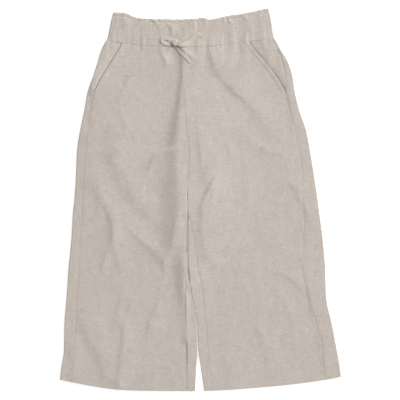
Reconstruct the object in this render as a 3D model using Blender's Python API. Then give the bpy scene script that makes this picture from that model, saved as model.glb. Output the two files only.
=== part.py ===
"""Cropped palazzo trousers in linen, laid flat with the front up.

Two layers of cloth lie on each other. Each back panel lies on the surface, wraps round
the outer fold of its leg to the side seam and, below the crotch, round the inner fold to
the inseam. Each front panel spans between those seams on top. Sizes are millimetres in
the tables below and metres in the model. X runs across, towards the wearer's left, Y
runs from the hems to the waist and Z is up. Right and left are the wearer's.
"""

import math

import bmesh
import bpy
import numpy as np

MM = 0.001
RIGHT = -1
LEFT = 1

# Cloth, in mm.
CLOTH = 1.3
BAND_CLOTH = 2.4
SEAM_GAP = 0.3
LEG_GAP = 0.5
FOLD_REACH = 2.7
BAND_FOLD_REACH = 3.1
TIE_WIDTH = 9.0
TIE_CLOTH = 1.3
TIE_BEVEL = 0.5

# Heights of the top layer over the surface, in mm.
PANEL_HEIGHT = 5.2
WAIST_RISE = 0.8
WAIST_RISE_REACH = 60.0
LOWEST_PANEL = CLOTH + SEAM_GAP + CLOTH + 0.1
LOWEST_OVER_POCKET = LOWEST_PANEL + SEAM_GAP + CLOTH
BAND_HEIGHT = 6.2
LOWEST_BAND = BAND_CLOTH + SEAM_GAP + BAND_CLOTH + 0.1
HEADING_DIP = 0.8
HEADING_DIP_REACH = 3.0
POCKET_RISE_START = 190.0
POCKET_RISE_REACH = 40.0
SOFTENING = 0.3

# The columns of a fold's points, and the least width that the solids' points can show.
WIDTH_RIGHT, WIDTH_LEFT, HEIGHT = 2, 3, 4
NARROWEST_FOLD = 9.0

# Where the seams end, in mm up the garment.
CROTCH = -10.0
CROTCH_EASE = 70.0
INSEAM_EASE = 40.0
POCKET_END = 231.0
FLAT_WRAP = 0.35
FACING_ABOVE_END = 6.0

# Rows and columns of points on the walls.
PANEL_ROWS = 40
FRONT_COLUMNS = 18
BACK_COLUMNS = 4
EDGE_COLUMNS = 3
FOLD_STEPS = 5
BAND_COLUMNS = 54
BAND_LEVELS = (0.0, 0.22, 0.44, 0.66, 0.8, 0.87, 0.94, 1.0)
HEADING_LEVEL = 0.87
WAIST_BLEND = 90.0
HEM_BLEND = 60.0

# Sections of the legs down the garment: x of the outer fold (edge), of the side seam, of
# the centre front seam or inseam (inner) and of the centre back seam or inner fold.
SECTION_COLUMNS = (
    "y", "edge_r", "side_r", "inner_r", "fold_r", "fold_l", "inner_l", "side_l", "edge_l",
)
SECTIONS = (
    (349, -200, -196, -42, -29, -29, -42, 154, 160),
    (322, -214, -209, -42, -29, -29, -42, 166, 174),
    (301, -220, -214, -42, -29, -29, -42, 174, 187),
    (269, -230, -223, -41, -29, -29, -41, 181, 198),
    (232, -243, -229, -38, -29, -29, -38, 184, 204),
    (194, -250, -238, -34, -29, -29, -34, 191, 213),
    (150, -259, -244, -31, -29, -29, -31, 203, 228),
    (103, -266, -250, -26, -28, -28, -26, 212, 237),
    (54, -268, -253, -27, -28, -28, -27, 218, 245),
    (6, -271, -256, -29, -28, -28, -29, 221, 252),
    (-32, -275, -257, -29, -28, -28, -25, 222, 257),
    (-86, -278, -261, -29, -27, -27, -14, 220, 264),
    (-146, -284, -263, -31, -27, -27, -6, 219, 269),
    (-206, -288, -268, -34, -19, -19, 5, 231, 271),
    (-269, -293, -270, -33, -8, -8, 11, 249, 284),
    (-322, -294, -274, -32, -6, -5, 15, 261, 294),
    (-370, -301, -277, -32, -9, 2, 19, 264, 302),
    (-413, -304, -281, -31, -11, 8, 23, 267, 306),
)

# The mouths of the slanted pockets.
POCKET_COLUMNS = ("y", "right", "left")
POCKET_MOUTHS = (
    (342, -165, 103),
    (320, -178, 119),
    (297, -192, 139),
    (264, -212, 164),
    (241, -224, 178),
    (228, -231, 186),
)

# The curved seams and edges that run across: x and y along each.
WAIST_SEAM = ((-210, 345), (-180, 339), (-143, 334), (-87, 329), (-1, 328), (59, 333), (104, 340), (167, 349))
WAIST_TOP = (
    (-199, 404), (-164, 403), (-137, 393), (-109, 390), (-42, 389), (8, 392),
    (20, 389), (51, 395), (106, 404), (137, 411), (158, 412),
)
RIGHT_HEM = ((-309, -385), (-270, -393), (-227, -401), (-184, -407), (-130, -410), (-5, -411))
LEFT_HEM = ((-1, -411), (63, -408), (128, -403), (192, -397), (246, -390), (278, -385), (314, -378))
BAND_EDGE_COLUMNS = ("y", "right", "left")
BAND_EDGES = ((344, -201, 160), (366, -196, 156), (387, -192, 153), (404, -188, 149), (412, -187, 147))
BAND_INSET = 5.5

# The folds of the panels, with columns x, y, width_right, width_left and height. Each
# runs through its points and swells by the height given at each. Its sides reach out by
# the two widths, to the right and to the left as one walks along it.
PANEL_FOLDS = {
    "centre ridge": (
        (-34, 331, 10, 78, 3.5), (-36, 270, 7, 95, 1.3), (-41, 217, 10, 95, 3.5),
        (-45, 167, 15, 95, 4.6), (-43, 117, 22, 95, 4.2), (-48, 64, 28, 95, 4.9),
        (-42, -1, 33, 95, 5.7), (-46, -47, 34, 95, 4.8), (-59, -90, 23, 94, 3.7),
        (-73, -125, 20, 53, 1.1), (-78, -161, 7, 95, 0.1), (-84, -204, 7, 46, 0.4),
        (-97, -248, 10, 21, 1.2), (-113, -290, 9, 41, 0.3),
    ),
    "inner ridge": (
        (-32, -104, 21, 58, 0), (-35, -139, 17, 60, 3.4), (-36, -176, 16, 60, 2.9),
        (-35, -211, 12, 60, 1.4), (-31, -254, 13, 60, 0.7), (-30, -301, 7, 60, 1),
    ),
    "belly step": (
        (-203, 146, 14, 30, 0), (-188, 103, 21, 34, 2.4), (-174, 69, 23, 42, 2.5),
        (-159, 42, 24, 30, 1.4), (-144, 16, 20, 32, 1.5), (-122, -11, 26, 28, 1.7),
        (-104, -39, 11, 10, 0.3),
    ),
    "thigh ridge": (
        (-229, 85, 15, 15, 0.6), (-218, 58, 21, 30, 0.3), (-199, 18, 21, 9, 0.7),
        (-171, -17, 16, 13, 0.1), (-137, -56, 19, 8, 0.2), (-110, -90, 12, 9, 0.3),
        (-84, -119, 14, 13, 0.9),
    ),
    "knee step": (
        (-231, 49, 25, 25, 1.3), (-216, 10, 11, 11, 0.8), (-198, -22, 7, 22, 0.9),
        (-186, -46, 13, 39, 2.1), (-186, -77, 13, 38, 1.6), (-192, -108, 18, 28, 0.8),
        (-205, -138, 11, 46, 0),
    ),
    "hip step": (
        (-149, 275, 29, 35, 1.2), (-161, 249, 28, 62, 0.7), (-168, 228, 24, 68, 1.3),
        (-184, 218, 23, 61, 1.3), (-211, 206, 24, 35, 0.8), (-236, 189, 12, 18, 0),
    ),
    "low hip step": (
        (-242, 138, 18, 23, 1.3), (-220, 146, 15, 32, 1.4), (-197, 153, 20, 29, 1.7),
        (-164, 148, 40, 42, 1.7),
    ),
    "hem step a": (
        (-255, -235, 18, 22, 0.5), (-243, -285, 11, 48, 1.3), (-228, -311, 16, 58, 1.4),
        (-213, -335, 16, 40, 1.4), (-207, -372, 10, 35, 1), (-197, -400, 7, 25, 0),
    ),
    "hem step b": (
        (-160, -242, 7, 35, 0), (-162, -289, 8, 29, 1.1), (-165, -322, 8, 38, 1.2),
        (-170, -353, 10, 51, 1.2), (-173, -400, 12, 10, 1.3),
    ),
    "shin step": (
        (-166, -193, 12, 20, 0.5), (-172, -224, 7, 9, 0), (-178, -263, 11, 8, 0.4),
    ),
    "side hem ridge": (
        (-269, -281, 13, 8, 0.1), (-272, -314, 16, 16, 0.8), (-272, -352, 9, 28, 0.7),
        (-278, -396, 11, 36, 0.5),
    ),
    "diagonal crease": (
        (17, 335, 23, 35, 2.5), (26, 298, 7, 47, 0.8), (38, 279, 12, 53, 1.5),
        (49, 258, 7, 69, 0.6), (69, 243, 9, 47, 1.8), (85, 217, 17, 45, 0),
        (112, 201, 12, 42, 0.4), (132, 182, 14, 34, 0.9), (150, 146, 12, 33, 0.5),
        (164, 125, 7, 20, 0),
    ),
    "crotch crease": (
        (36, 55, 29, 31, 1.6), (24, 30, 8, 36, 1.3), (13, 8, 7, 37, 1.6),
        (6, -15, 8, 40, 1.4), (7, -46, 11, 62, 1.4), (7, -83, 12, 47, 1.3),
        (14, -111, 18, 40, 2), (20, -136, 15, 19, 0.2),
    ),
    "belly crease": (
        (-3, 168, 10, 31, 0), (-1, 129, 8, 19, 0.6), (4, 96, 8, 50, 0.9),
        (4, 64, 7, 18, 0.7), (12, 42, 12, 10, 0.9),
    ),
    "side crease": (
        (186, 45, 7, 17, 0), (207, 24, 7, 36, 0.5), (218, -2, 7, 46, 0.4),
        (230, -23, 7, 38, 0.5), (239, -52, 7, 19, 0.1),
    ),
    "calf crease": (
        (145, -144, 7, 8, 0.1), (175, -157, 8, 23, 0.3), (199, -169, 7, 15, 0.4),
        (215, -186, 7, 13, 0.4), (227, -209, 7, 8, 0),
    ),
    "hem crease": (
        (111, -258, 12, 24, 0), (128, -283, 7, 24, 0.5), (140, -312, 15, 36, 0.4),
        (149, -348, 13, 29, 0),
    ),
    "seat crease": (
        (80, 143, 7, 33, 0.1), (109, 128, 26, 12, 0.7), (137, 113, 13, 8, 0.1),
        (162, 104, 10, 10, 0),
    ),
    "side ridge": (
        (220, -116, 21, 16, 0.2), (228, -154, 7, 36, 0.2), (234, -191, 7, 48, 0.9),
        (241, -228, 7, 65, 0.9), (251, -271, 7, 56, 0.1), (269, -302, 20, 57, 1.5),
        (271, -348, 10, 61, 1.2), (270, -387, 7, 24, 0),
    ),
    "pocket ridge": (
        (187, 246, 8, 13, 0.5), (194, 214, 7, 33, 1), (201, 174, 10, 16, 0.8),
        (207, 142, 21, 16, 0.3),
    ),
    "hip seam ridge": (
        (-232, 245, 8, 50, 2), (-227, 215, 8, 40, 0.6), (-231, 181, 7, 32, 0.8),
        (-233, 146, 8, 13, 0.1),
    ),
}

# The gathers of the waistband, in the same columns.
BAND_FOLDS = {
    "gather a": ((-177, 396, 7, 7, -0.11), (-176, 372, 7, 7, -0.38), (-174, 346, 7, 7, -0.23)),
    "gather b": ((-162, 403, 6, 6, 0.4), (-162, 385, 6, 6, 0.5), (-162, 352, 6, 6, 0.15)),
    "gather c": ((-148, 397, 6, 6, -0.19), (-147, 380, 6, 6, -0.38), (-146, 360, 6, 6, -0.08)),
    "gather d": ((-134, 366, 7, 7, -0.08), (-133, 350, 7, 7, -0.38), (-133, 335, 7, 7, -0.34)),
    "gather e": ((-121, 390, 7, 7, 0.22), (-120, 372, 7, 7, 0.55), (-119, 340, 7, 7, 0.33)),
    "gather f": ((-106, 364, 5, 5, -0.08), (-105, 350, 5, 5, -0.38), (-104, 333, 5, 5, -0.34)),
    "gather g": ((-85, 388, 7, 7, 0.23), (-84, 366, 7, 7, 0.38), (-84, 332, 7, 7, 0.19)),
    "gather h": ((-69, 378, 5, 5, -0.13), (-68, 366, 5, 5, -0.42), (-69, 348, 5, 5, -0.25)),
    "gather i": ((-60, 381, 4, 4, 0.25), (-59, 370, 4, 4, 0.63), (-60, 350, 4, 4, 0.25)),
    "gather j": ((-42, 388, 5, 5, -0.17), (-42, 360, 5, 5, -0.34), (-42, 332, 5, 5, -0.17)),
    "gather k": ((-27, 386, 6, 6, 0.2), (-17, 378, 6, 6, 0.5), (-17, 366, 6, 6, 0.15)),
    "gather l": ((-4, 388, 5, 5, -0.38), (-4, 376, 5, 5, -0.42), (-5, 352, 5, 5, -0.08)),
    "gather m": ((9, 390, 6, 6, 0.4), (9, 372, 6, 6, 0.5), (8, 350, 6, 6, 0.2)),
    "gather n": ((23, 356, 6, 6, -0.08), (23, 346, 6, 6, -0.38), (22, 332, 6, 6, -0.34)),
    "gather o": ((33, 388, 6, 6, 0.18), (33, 366, 6, 6, 0.46), (33, 340, 6, 6, 0.37)),
    "gather p": ((44, 360, 6, 6, -0.08), (45, 348, 6, 6, -0.38), (46, 334, 6, 6, -0.34)),
    "gather q": ((66, 394, 7, 7, 0.35), (65, 372, 7, 7, 0.5), (66, 342, 7, 7, 0.2)),
    "gather r": ((86, 398, 6, 6, -0.24), (86, 376, 6, 6, -0.34), (87, 348, 6, 6, -0.1)),
    "gather s": ((101, 400, 6, 6, 0.28), (102, 376, 6, 6, 0.46), (104, 350, 6, 6, 0.28)),
    "gather t": ((113, 378, 5, 5, -0.13), (114, 366, 5, 5, -0.42), (116, 354, 5, 5, -0.13)),
    "gather u": ((128, 387, 5, 6, -0.34), (131, 368, 5, 6, -0.42), (140, 346, 5, 6, -0.34)),
    "gather v": ((140, 404, 6, 6, 0.21), (142, 384, 6, 6, 0.42), (148, 356, 6, 6, 0.21)),
}

# The bow. Plan routes of the tie's centre line, from the knot outwards.
KNOT_CENTRE = (-54.2, 338.0)
KNOT_SIZE = (16.0, 14.0, 7.4)
KNOT_TURN = math.radians(-35)
KNOT_ROUNDNESS = 0.85
KNOT_STEPS = (14, 8)
RIGHT_LOOP = (
    (-63.0, 336.4), (-68.6, 335.8), (-74.6, 336.2), (-80.0, 338.6), (-82.4, 342.6),
    (-80.2, 346.6), (-75.4, 347.7), (-71.0, 345.8), (-67.4, 342.8), (-62.9, 340.2),
)
LEFT_LOOP = ((-43.8, 332.4), (-33.4, 332.6), (-23.8, 338.6), (-11.8, 349.6), (-0.6, 355.2))
RIGHT_TAIL = ((-51.0, 331.0), (-45.0, 320.6), (-36.1, 311.1), (-19.8, 295.2))
LEFT_TAIL = ((-45.0, 333.0), (-36.8, 325.6), (-28.6, 318.3), (-12.4, 302.6))
LOOP_SHIFT = 2.4
LOOP_TURN = 1.5
LOOP_START_LIFT = 4.6
LOOP_START_SHARE = 0.5
RING_CLIMB = 2.2
TAIL_OVERLAP_LIFT = 1.7
TAIL_OVERLAP = (0.3, 0.3)
TIE_CLEARANCE = 0.45
TIE_STEPS = 18

# Colours, linear.
LINEN = (0.585, 0.520, 0.468, 1.0)
TIE_LINEN = (0.600, 0.545, 0.480, 1.0)
LINEN_ROUGHNESS = 0.9
SHARP_ANGLE = math.radians(50)


def smooth(share):
    """An eased share, 0 at 0 and below, 1 at 1 and above."""
    share = min(max(share, 0.0), 1.0)
    return share * share * (3.0 - 2.0 * share)


def curve_through(points):
    """A smooth curve through (x, y) points that never overshoots them."""
    points = sorted(points)
    xs = np.array([point[0] for point in points], float)
    ys = np.array([point[1] for point in points], float)
    steps = np.diff(xs)
    slopes = np.diff(ys) / steps
    tangents = np.zeros(len(xs))
    tangents[0] = slopes[0]
    tangents[-1] = slopes[-1]
    for i in range(1, len(xs) - 1):
        before, after = slopes[i - 1], slopes[i]
        if before * after > 0.0:
            tangents[i] = 2.0 * before * after / (before + after)

    def value(x):
        x = min(max(x, xs[0]), xs[-1])
        i = min(max(int(np.searchsorted(xs, x)) - 1, 0), len(steps) - 1)
        t = (x - xs[i]) / steps[i]
        start = ys[i] * (1 + 2 * t) + tangents[i] * steps[i] * t
        end = ys[i + 1] * (3 - 2 * t) + tangents[i + 1] * steps[i] * (t - 1)
        return start * (1 - t) ** 2 + end * t * t

    return value


def columns_of(names, rows):
    """A curve down the garment for each named column of a table."""
    return {
        name: curve_through([(row[0], row[index]) for row in rows])
        for index, name in enumerate(names)
        if index > 0
    }


SECTION = columns_of(SECTION_COLUMNS, SECTIONS)
POCKET = columns_of(POCKET_COLUMNS, POCKET_MOUTHS)
BAND_EDGE = columns_of(BAND_EDGE_COLUMNS, BAND_EDGES)
waist_seam = curve_through(WAIST_SEAM)
waist_top = curve_through(WAIST_TOP)
HEM = {RIGHT: curve_through(RIGHT_HEM), LEFT: curve_through(LEFT_HEM)}
TOP_ROW = {RIGHT: WAIST_SEAM[0][1], LEFT: WAIST_SEAM[-1][1]}
BOTTOM_ROW = {RIGHT: RIGHT_HEM[0][1], LEFT: LEFT_HEM[-1][1]}


def side_letter(side):
    """The ending of a leg's column names."""
    return "r" if side == RIGHT else "l"


# ---- The form of the top layer ----

def relief(x, y, folds):
    """How far all folds together lift or sink the cloth at a place."""
    total = 0.0
    for rows in folds.values():
        nearest = math.inf
        for start, end in zip(rows, rows[1:]):
            run_x, run_y = end[0] - start[0], end[1] - start[1]
            along = ((x - start[0]) * run_x + (y - start[1]) * run_y) / (run_x ** 2 + run_y ** 2)
            along = min(max(along, 0.0), 1.0)
            away_x, away_y = x - start[0] - along * run_x, y - start[1] - along * run_y
            distance = math.hypot(away_x, away_y)
            if distance < nearest:
                nearest = distance
                column = WIDTH_RIGHT if run_x * away_y < run_y * away_x else WIDTH_LEFT
                eased = smooth(along)
                width = start[column] + eased * (end[column] - start[column])
                height = start[HEIGHT] + eased * (end[HEIGHT] - start[HEIGHT])
        total += height * math.exp(-((nearest / max(width, NARROWEST_FOLD)) ** 2))
    return total


def at_least(value, lowest):
    """A value held softly above a lowest one."""
    over = value - lowest
    return lowest + 0.5 * (over + math.sqrt(over * over + SOFTENING))


def panel_top(x, y):
    """Height of the top of the upper layer of cloth over the surface."""
    waist = math.exp(-(((waist_seam(x) - y) / WAIST_RISE_REACH) ** 2))
    over_pocket = smooth((y - POCKET_RISE_START) / POCKET_RISE_REACH)
    lowest = LOWEST_PANEL + (LOWEST_OVER_POCKET - LOWEST_PANEL) * over_pocket
    return at_least(PANEL_HEIGHT + WAIST_RISE * waist + relief(x, y, PANEL_FOLDS), lowest)


def band_top(x, y):
    """Height of the top of the front of the waistband over the surface."""
    heading = waist_seam(x) + HEADING_LEVEL * (waist_top(x) - waist_seam(x))
    groove = HEADING_DIP * math.exp(-(((y - heading) / HEADING_DIP_REACH) ** 2))
    return at_least(BAND_HEIGHT + relief(x, y, BAND_FOLDS) - groove, LOWEST_BAND)


def terrain(x, y):
    """Top of the trousers' front at a place, on the band or on a panel."""
    return band_top(x, y) if y > waist_seam(x) else panel_top(x, y)


# ---- Places on the legs ----

def row_level(side, row, x):
    """y of a row of points at x: level in the leg, curved near the waist and the hem."""
    top, bottom = TOP_ROW[side], BOTTOM_ROW[side]
    at_waist = 1.0 - smooth((top - row) / WAIST_BLEND)
    at_hem = 1.0 - smooth((row - bottom) / HEM_BLEND)
    rise = waist_seam(x) - SEAM_GAP / 2 - top
    drop = HEM[side](x) - bottom
    return row + at_waist * rise + at_hem * drop


def on_row(side, row, place):
    """Where a row meets a line of the leg, given as x at a height y."""
    x = place(row)
    for _ in range(3):
        x = place(row_level(side, row, x))
    return x, row_level(side, row, x)


def edge_place(side):
    """x of the outer fold of a leg at a height."""
    return SECTION["edge_" + side_letter(side)]


def side_seam_place(side):
    """x of the side seam of a leg at a height."""
    return SECTION["side_" + side_letter(side)]


def front_side_place(side):
    """x of the outer cut edge of a front panel: the pocket mouth, then the side seam."""
    seam = side_seam_place(side)
    mouth = POCKET["right" if side == RIGHT else "left"]

    def place(y):
        out = side * seam(y)
        if y > POCKET_END:
            out = min(out, side * mouth(y))
        return side * (out - SEAM_GAP / 2)

    return place


def wrap_width(side, y):
    """How far the back panel reaches over the inner fold, seen from above."""
    letter = side_letter(side)
    full = side * (SECTION["inner_" + letter](y) - SECTION["fold_" + letter](y))
    return max(full, 0.0) * smooth((CROTCH - y) / INSEAM_EASE)


def inner_wrap_angle(side, y):
    """Angle by which the back panel turns up round the inner fold, half a turn at most."""
    if y >= CROTCH:
        rise = smooth((CROTCH + CROTCH_EASE - y) / CROTCH_EASE)
        return FLAT_WRAP + (math.pi / 2 - FLAT_WRAP) * rise
    return math.pi - math.asin(max(0.0, 1.0 - wrap_width(side, y) / FOLD_REACH))


def fold_place(side):
    """x of the inner fold of a leg, or of the centre back seam over the crotch."""
    fold = SECTION["fold_" + side_letter(side)]
    return lambda y: fold(y) + side * LEG_GAP / 2


def front_inner_place(side):
    """x of the inner end of a front panel: centre front seam, inner fold, then inseam."""
    inner = SECTION["inner_" + side_letter(side)]
    fold = fold_place(side)

    def place(y):
        if y >= CROTCH:
            near = smooth((CROTCH + INSEAM_EASE - y) / INSEAM_EASE)
            open_end = inner(y) + side * SEAM_GAP / 2
            return open_end + near * (fold(y) - open_end)
        width = wrap_width(side, y)
        gap = SEAM_GAP / 2 if width > FOLD_REACH else 0.0
        return fold(y) + side * (width + gap)

    return place


# ---- Rings of points across a leg ----

def arc_points(centre_x, direction, size, wall, angles, level):
    """Points round a fold of given reach and height. Angle 0 is its foot, half a turn its top."""
    reach, height = size
    points = []
    for angle in angles:
        x = centre_x + direction * (reach - wall) * math.sin(angle)
        points.append((x, level(x), height / 2 - (height / 2 - wall) * math.cos(angle)))
    return points


def back_ring(side, row):
    """The outer and inner points across a back panel at one row."""
    seam_x, _ = on_row(side, row, side_seam_place(side))
    seam_x += side * SEAM_GAP / 2
    edge_x, edge_y = on_row(side, row, edge_place(side))
    fold_x, fold_y = on_row(side, row, fold_place(side))
    outer_centre = edge_x - side * FOLD_REACH
    wrap = inner_wrap_angle(side, fold_y)
    inner_centre = fold_x + side * FOLD_REACH * math.sin(min(wrap, math.pi / 2))
    outer_fold = (FOLD_REACH, panel_top(outer_centre, edge_y))
    inner_fold = (FOLD_REACH, panel_top(inner_centre, fold_y))
    turn = np.linspace(math.pi, 0.0, FOLD_STEPS + 1)
    skins = []

    def level(x):
        return row_level(side, row, x)

    for wall in (0.0, CLOTH):
        points = []
        for x in np.linspace(seam_x, outer_centre, EDGE_COLUMNS)[:-1]:
            points.append((x, level(x), panel_top(x, level(x)) - wall))
        points += arc_points(outer_centre, side, outer_fold, wall, turn, level)
        for x in np.linspace(outer_centre, inner_centre, BACK_COLUMNS + 1)[1:-1]:
            points.append((x, level(x), wall))
        if wrap < math.pi:
            wrap_end = wrap - SEAM_GAP / FOLD_REACH
            angles = np.linspace(0.0, wrap_end, FOLD_STEPS + EDGE_COLUMNS)
            points += arc_points(inner_centre, -side, inner_fold, wall, angles, level)
        else:
            points += arc_points(inner_centre, -side, inner_fold, wall, turn[::-1], level)
            end_x = fold_x + side * (wrap_width(side, fold_y) - SEAM_GAP / 2)
            for x in np.linspace(inner_centre, end_x, EDGE_COLUMNS)[1:]:
                points.append((x, level(x), panel_top(x, level(x)) - wall))
        skins.append(points)
    return skins


def front_ring(side, row):
    """The outer and inner points across a front panel at one row."""
    out_x, _ = on_row(side, row, front_side_place(side))
    end_x, end_y = on_row(side, row, front_inner_place(side))
    wrap = inner_wrap_angle(side, end_y) if end_y < CROTCH + CROTCH_EASE else 0.0
    drop = wrap if end_y >= CROTCH else math.pi - wrap
    drop = max(drop - SEAM_GAP / FOLD_REACH, FLAT_WRAP)
    turn_x = end_x + side * FOLD_REACH * math.sin(drop)
    turn_y = row_level(side, row, turn_x)
    fold = (FOLD_REACH, panel_top(turn_x, turn_y))
    angles = math.pi - np.linspace(0.0, drop, EDGE_COLUMNS + 1)
    skins = []
    for wall in (0.0, CLOTH):
        points = []
        for x in np.linspace(out_x, turn_x, FRONT_COLUMNS)[:-1]:
            y = row_level(side, row, x)
            points.append((x, y, panel_top(x, y) - wall))
        points += arc_points(turn_x, -side, fold, wall, angles, lambda x: row_level(side, row, x))
        skins.append(points)
    return skins


def facing_ring(side, row):
    """The outer and inner points across a pocket facing at one row."""
    seam_x, _ = on_row(side, row, side_seam_place(side))
    seam_x -= side * SEAM_GAP / 2
    front_x = [point[0] for point in front_ring(side, row)[0][:3]]
    shown = np.linspace(seam_x, front_x[0] + side * SEAM_GAP, EDGE_COLUMNS + 2)
    dip = CLOTH + SEAM_GAP
    skins = []
    for wall in (0.0, CLOTH):
        points = []
        for index, x in enumerate(shown):
            y = row_level(side, row, x)
            eased = smooth(index / (len(shown) - 1))
            points.append((x, y, panel_top(x, y) - eased * dip - wall))
        for x in front_x[:2]:
            y = row_level(side, row, x)
            points.append((x, y, panel_top(x, y) - dip - wall))
        skins.append(points)
    return skins


def leg_rows(side):
    """Heights of the rows of points down a leg."""
    return np.linspace(TOP_ROW[side], BOTTOM_ROW[side], PANEL_ROWS)


# ---- The waistband ----

def band_level(x, share):
    """y at a share of the way up the waistband."""
    low = waist_seam(x) + SEAM_GAP / 2
    return low + share * (waist_top(x) - low)


def band_edge_x(side, share):
    """x of the folded side of the waistband."""
    edge = BAND_EDGE["right" if side == RIGHT else "left"]
    x = edge(BAND_EDGES[0][0])
    for _ in range(3):
        x = edge(band_level(x, share))
    return x


def band_front_row(share):
    """The outer and inner points across the front of the waistband."""
    right = band_edge_x(RIGHT, share) + BAND_INSET + SEAM_GAP / 2
    left = band_edge_x(LEFT, share) - BAND_INSET - SEAM_GAP / 2
    skins = []
    for wall in (0.0, BAND_CLOTH):
        points = []
        for x in np.linspace(right, left, BAND_COLUMNS + 1):
            y = band_level(x, share)
            points.append((x, y, band_top(x, y) - wall))
        skins.append(points)
    return skins


def band_back_columns(share, reach):
    """x of the points across the back of the waistband, over those of the back panels."""
    seam = []
    for side in (RIGHT, LEFT):
        edge, _ = on_row(side, TOP_ROW[side], edge_place(side))
        fold, _ = on_row(side, TOP_ROW[side], fold_place(side))
        across = np.linspace(edge - side * FOLD_REACH, fold, BACK_COLUMNS + 1)[1:]
        seam += list(across if side == RIGHT else across[::-1])
    ends = [band_edge_x(side, 0.0) - side * reach for side in (RIGHT, LEFT)]
    shares = (np.array(seam) - ends[0]) / (ends[1] - ends[0])
    right, left = (band_edge_x(side, share) - side * reach for side in (RIGHT, LEFT))
    return right + shares * (left - right)


def band_back_row(share):
    """The outer and inner points round the back of the waistband and its folded sides."""
    turn = np.linspace(math.pi, 0.0, FOLD_STEPS + 1)
    reach = BAND_FOLD_REACH
    skins = []
    for wall in (0.0, BAND_CLOTH):
        points = []
        for side, angles in ((RIGHT, turn), (LEFT, turn[::-1])):
            if side == LEFT:
                points += [(x, band_level(x, share), wall) for x in band_back_columns(share, reach)]
            edge = band_edge_x(side, share)
            centre = edge - side * reach
            size = (reach, band_top(centre, band_level(centre, share)))
            end_x = edge - side * (BAND_INSET - SEAM_GAP / 2)
            end_y = band_level(end_x, share)
            seam_end = (end_x, end_y, band_top(end_x, end_y) - wall)
            fold = arc_points(centre, side, size, wall, angles, lambda x: band_level(x, share))
            points += [seam_end] + fold if side == RIGHT else fold + [seam_end]
        skins.append(points)
    return skins


# ---- The tie ----

def smooth_route(points, steps):
    """Evenly spaced points on a smooth curve through the route's own points."""
    points = np.array(points, float)
    lengths = np.concatenate(([0.0], np.cumsum(np.linalg.norm(np.diff(points, axis=0), axis=1))))
    padded = np.vstack((2 * points[0] - points[1], points, 2 * points[-1] - points[-2]))
    route = []
    for length in np.linspace(0.0, lengths[-1], steps + 1):
        i = min(int(np.searchsorted(lengths, length, side="right")) - 1, len(points) - 2)
        t = (length - lengths[i]) / (lengths[i + 1] - lengths[i])
        a, b, c, d = padded[i:i + 4]
        route.append(0.5 * (2 * b + (c - a) * t + (2 * a - 5 * b + 4 * c - d) * t ** 2
                            + (3 * b - a - 3 * c + d) * t ** 3))
    return np.array(route)


def directions(route):
    """Unit directions along a route."""
    along = np.gradient(route, axis=0)
    return along / np.linalg.norm(along, axis=1)[:, None]


def level_over(places, reach=TIE_WIDTH / 2):
    """Lowest height at which a flat tie clears the cloth round some places."""
    spots = [(x + dx, y + dy) for x, y in places for dx in (-reach, 0, reach) for dy in (-reach, 0, reach)]
    return max(terrain(x, y) for x, y in spots) + TIE_CLEARANCE + TIE_CLOTH / 2


def ribbon(name, route, across):
    """A flat tie along a route, with its width along the given directions."""
    along = directions(route)
    normals = np.cross(along, across)
    normals /= np.linalg.norm(normals, axis=1)[:, None]
    half, thick, bevel = TIE_WIDTH / 2, TIE_CLOTH / 2, TIE_BEVEL
    corners = ((-half, 0), (bevel - half, thick), (half - bevel, thick), (half, 0),
               (half - bevel, -thick), (bevel - half, -thick))
    shape = bmesh.new()
    rings = []
    for centre, wide, normal in zip(route, across, normals):
        rings.append([shape.verts.new((centre + wide * a + normal * b) * MM) for a, b in corners])
    for ring, following in zip(rings, rings[1:]):
        for i in range(len(corners)):
            j = (i + 1) % len(corners)
            shape.faces.new((ring[i], ring[j], following[j], following[i]))
    shape.faces.new(rings[0])
    shape.faces.new(rings[-1])
    return finished(name, shape, TIE_LINEN)


def flat_across(route):
    """Level directions square to a route, seen from above."""
    along = directions(route * (1, 1, 0))
    return np.stack((-along[:, 1], along[:, 0], np.zeros(len(route))), axis=1)


def ring_loop(name, points):
    """A loop of the bow that lies open, and climbs a little over its own start."""
    plan = smooth_route(points, TIE_STEPS + 4)
    level = level_over(plan)
    climb = np.linspace(0.0, RING_CLIMB, len(plan))
    route = np.column_stack((plan, level + climb))
    return ribbon(name, route, flat_across(route))


def closed_loop(name, points):
    """A loop of the bow whose two strands lie on each other, turned over at its end."""
    axis = smooth_route(points, TIE_STEPS - 6)
    level = level_over(axis)
    shares = np.linspace(0.0, 1.0, len(axis)) / LOOP_START_SHARE
    levels = [level + LOOP_START_LIFT * (1.0 - smooth(share)) for share in shares]
    flat = np.column_stack((axis, levels))
    across = flat_across(flat)
    along = directions(flat)[-1]
    lower = flat - across * LOOP_SHIFT / 2
    upper = flat + across * LOOP_SHIFT / 2 + (0, 0, 2 * LOOP_TURN)
    turned = []
    for angle in np.linspace(0.0, math.pi, FOLD_STEPS + 1)[1:-1]:
        middle = flat[-1] + along * LOOP_TURN * math.sin(angle)
        shift = across[-1] * (-math.cos(angle)) * LOOP_SHIFT / 2
        turned.append(middle + shift + np.array((0, 0, LOOP_TURN * (1 - math.cos(angle)))))
    route = np.vstack((lower, turned, upper[::-1]))
    wide = np.vstack((across, [across[-1]] * len(turned), across[::-1]))
    return ribbon(name, route, wide)


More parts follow.
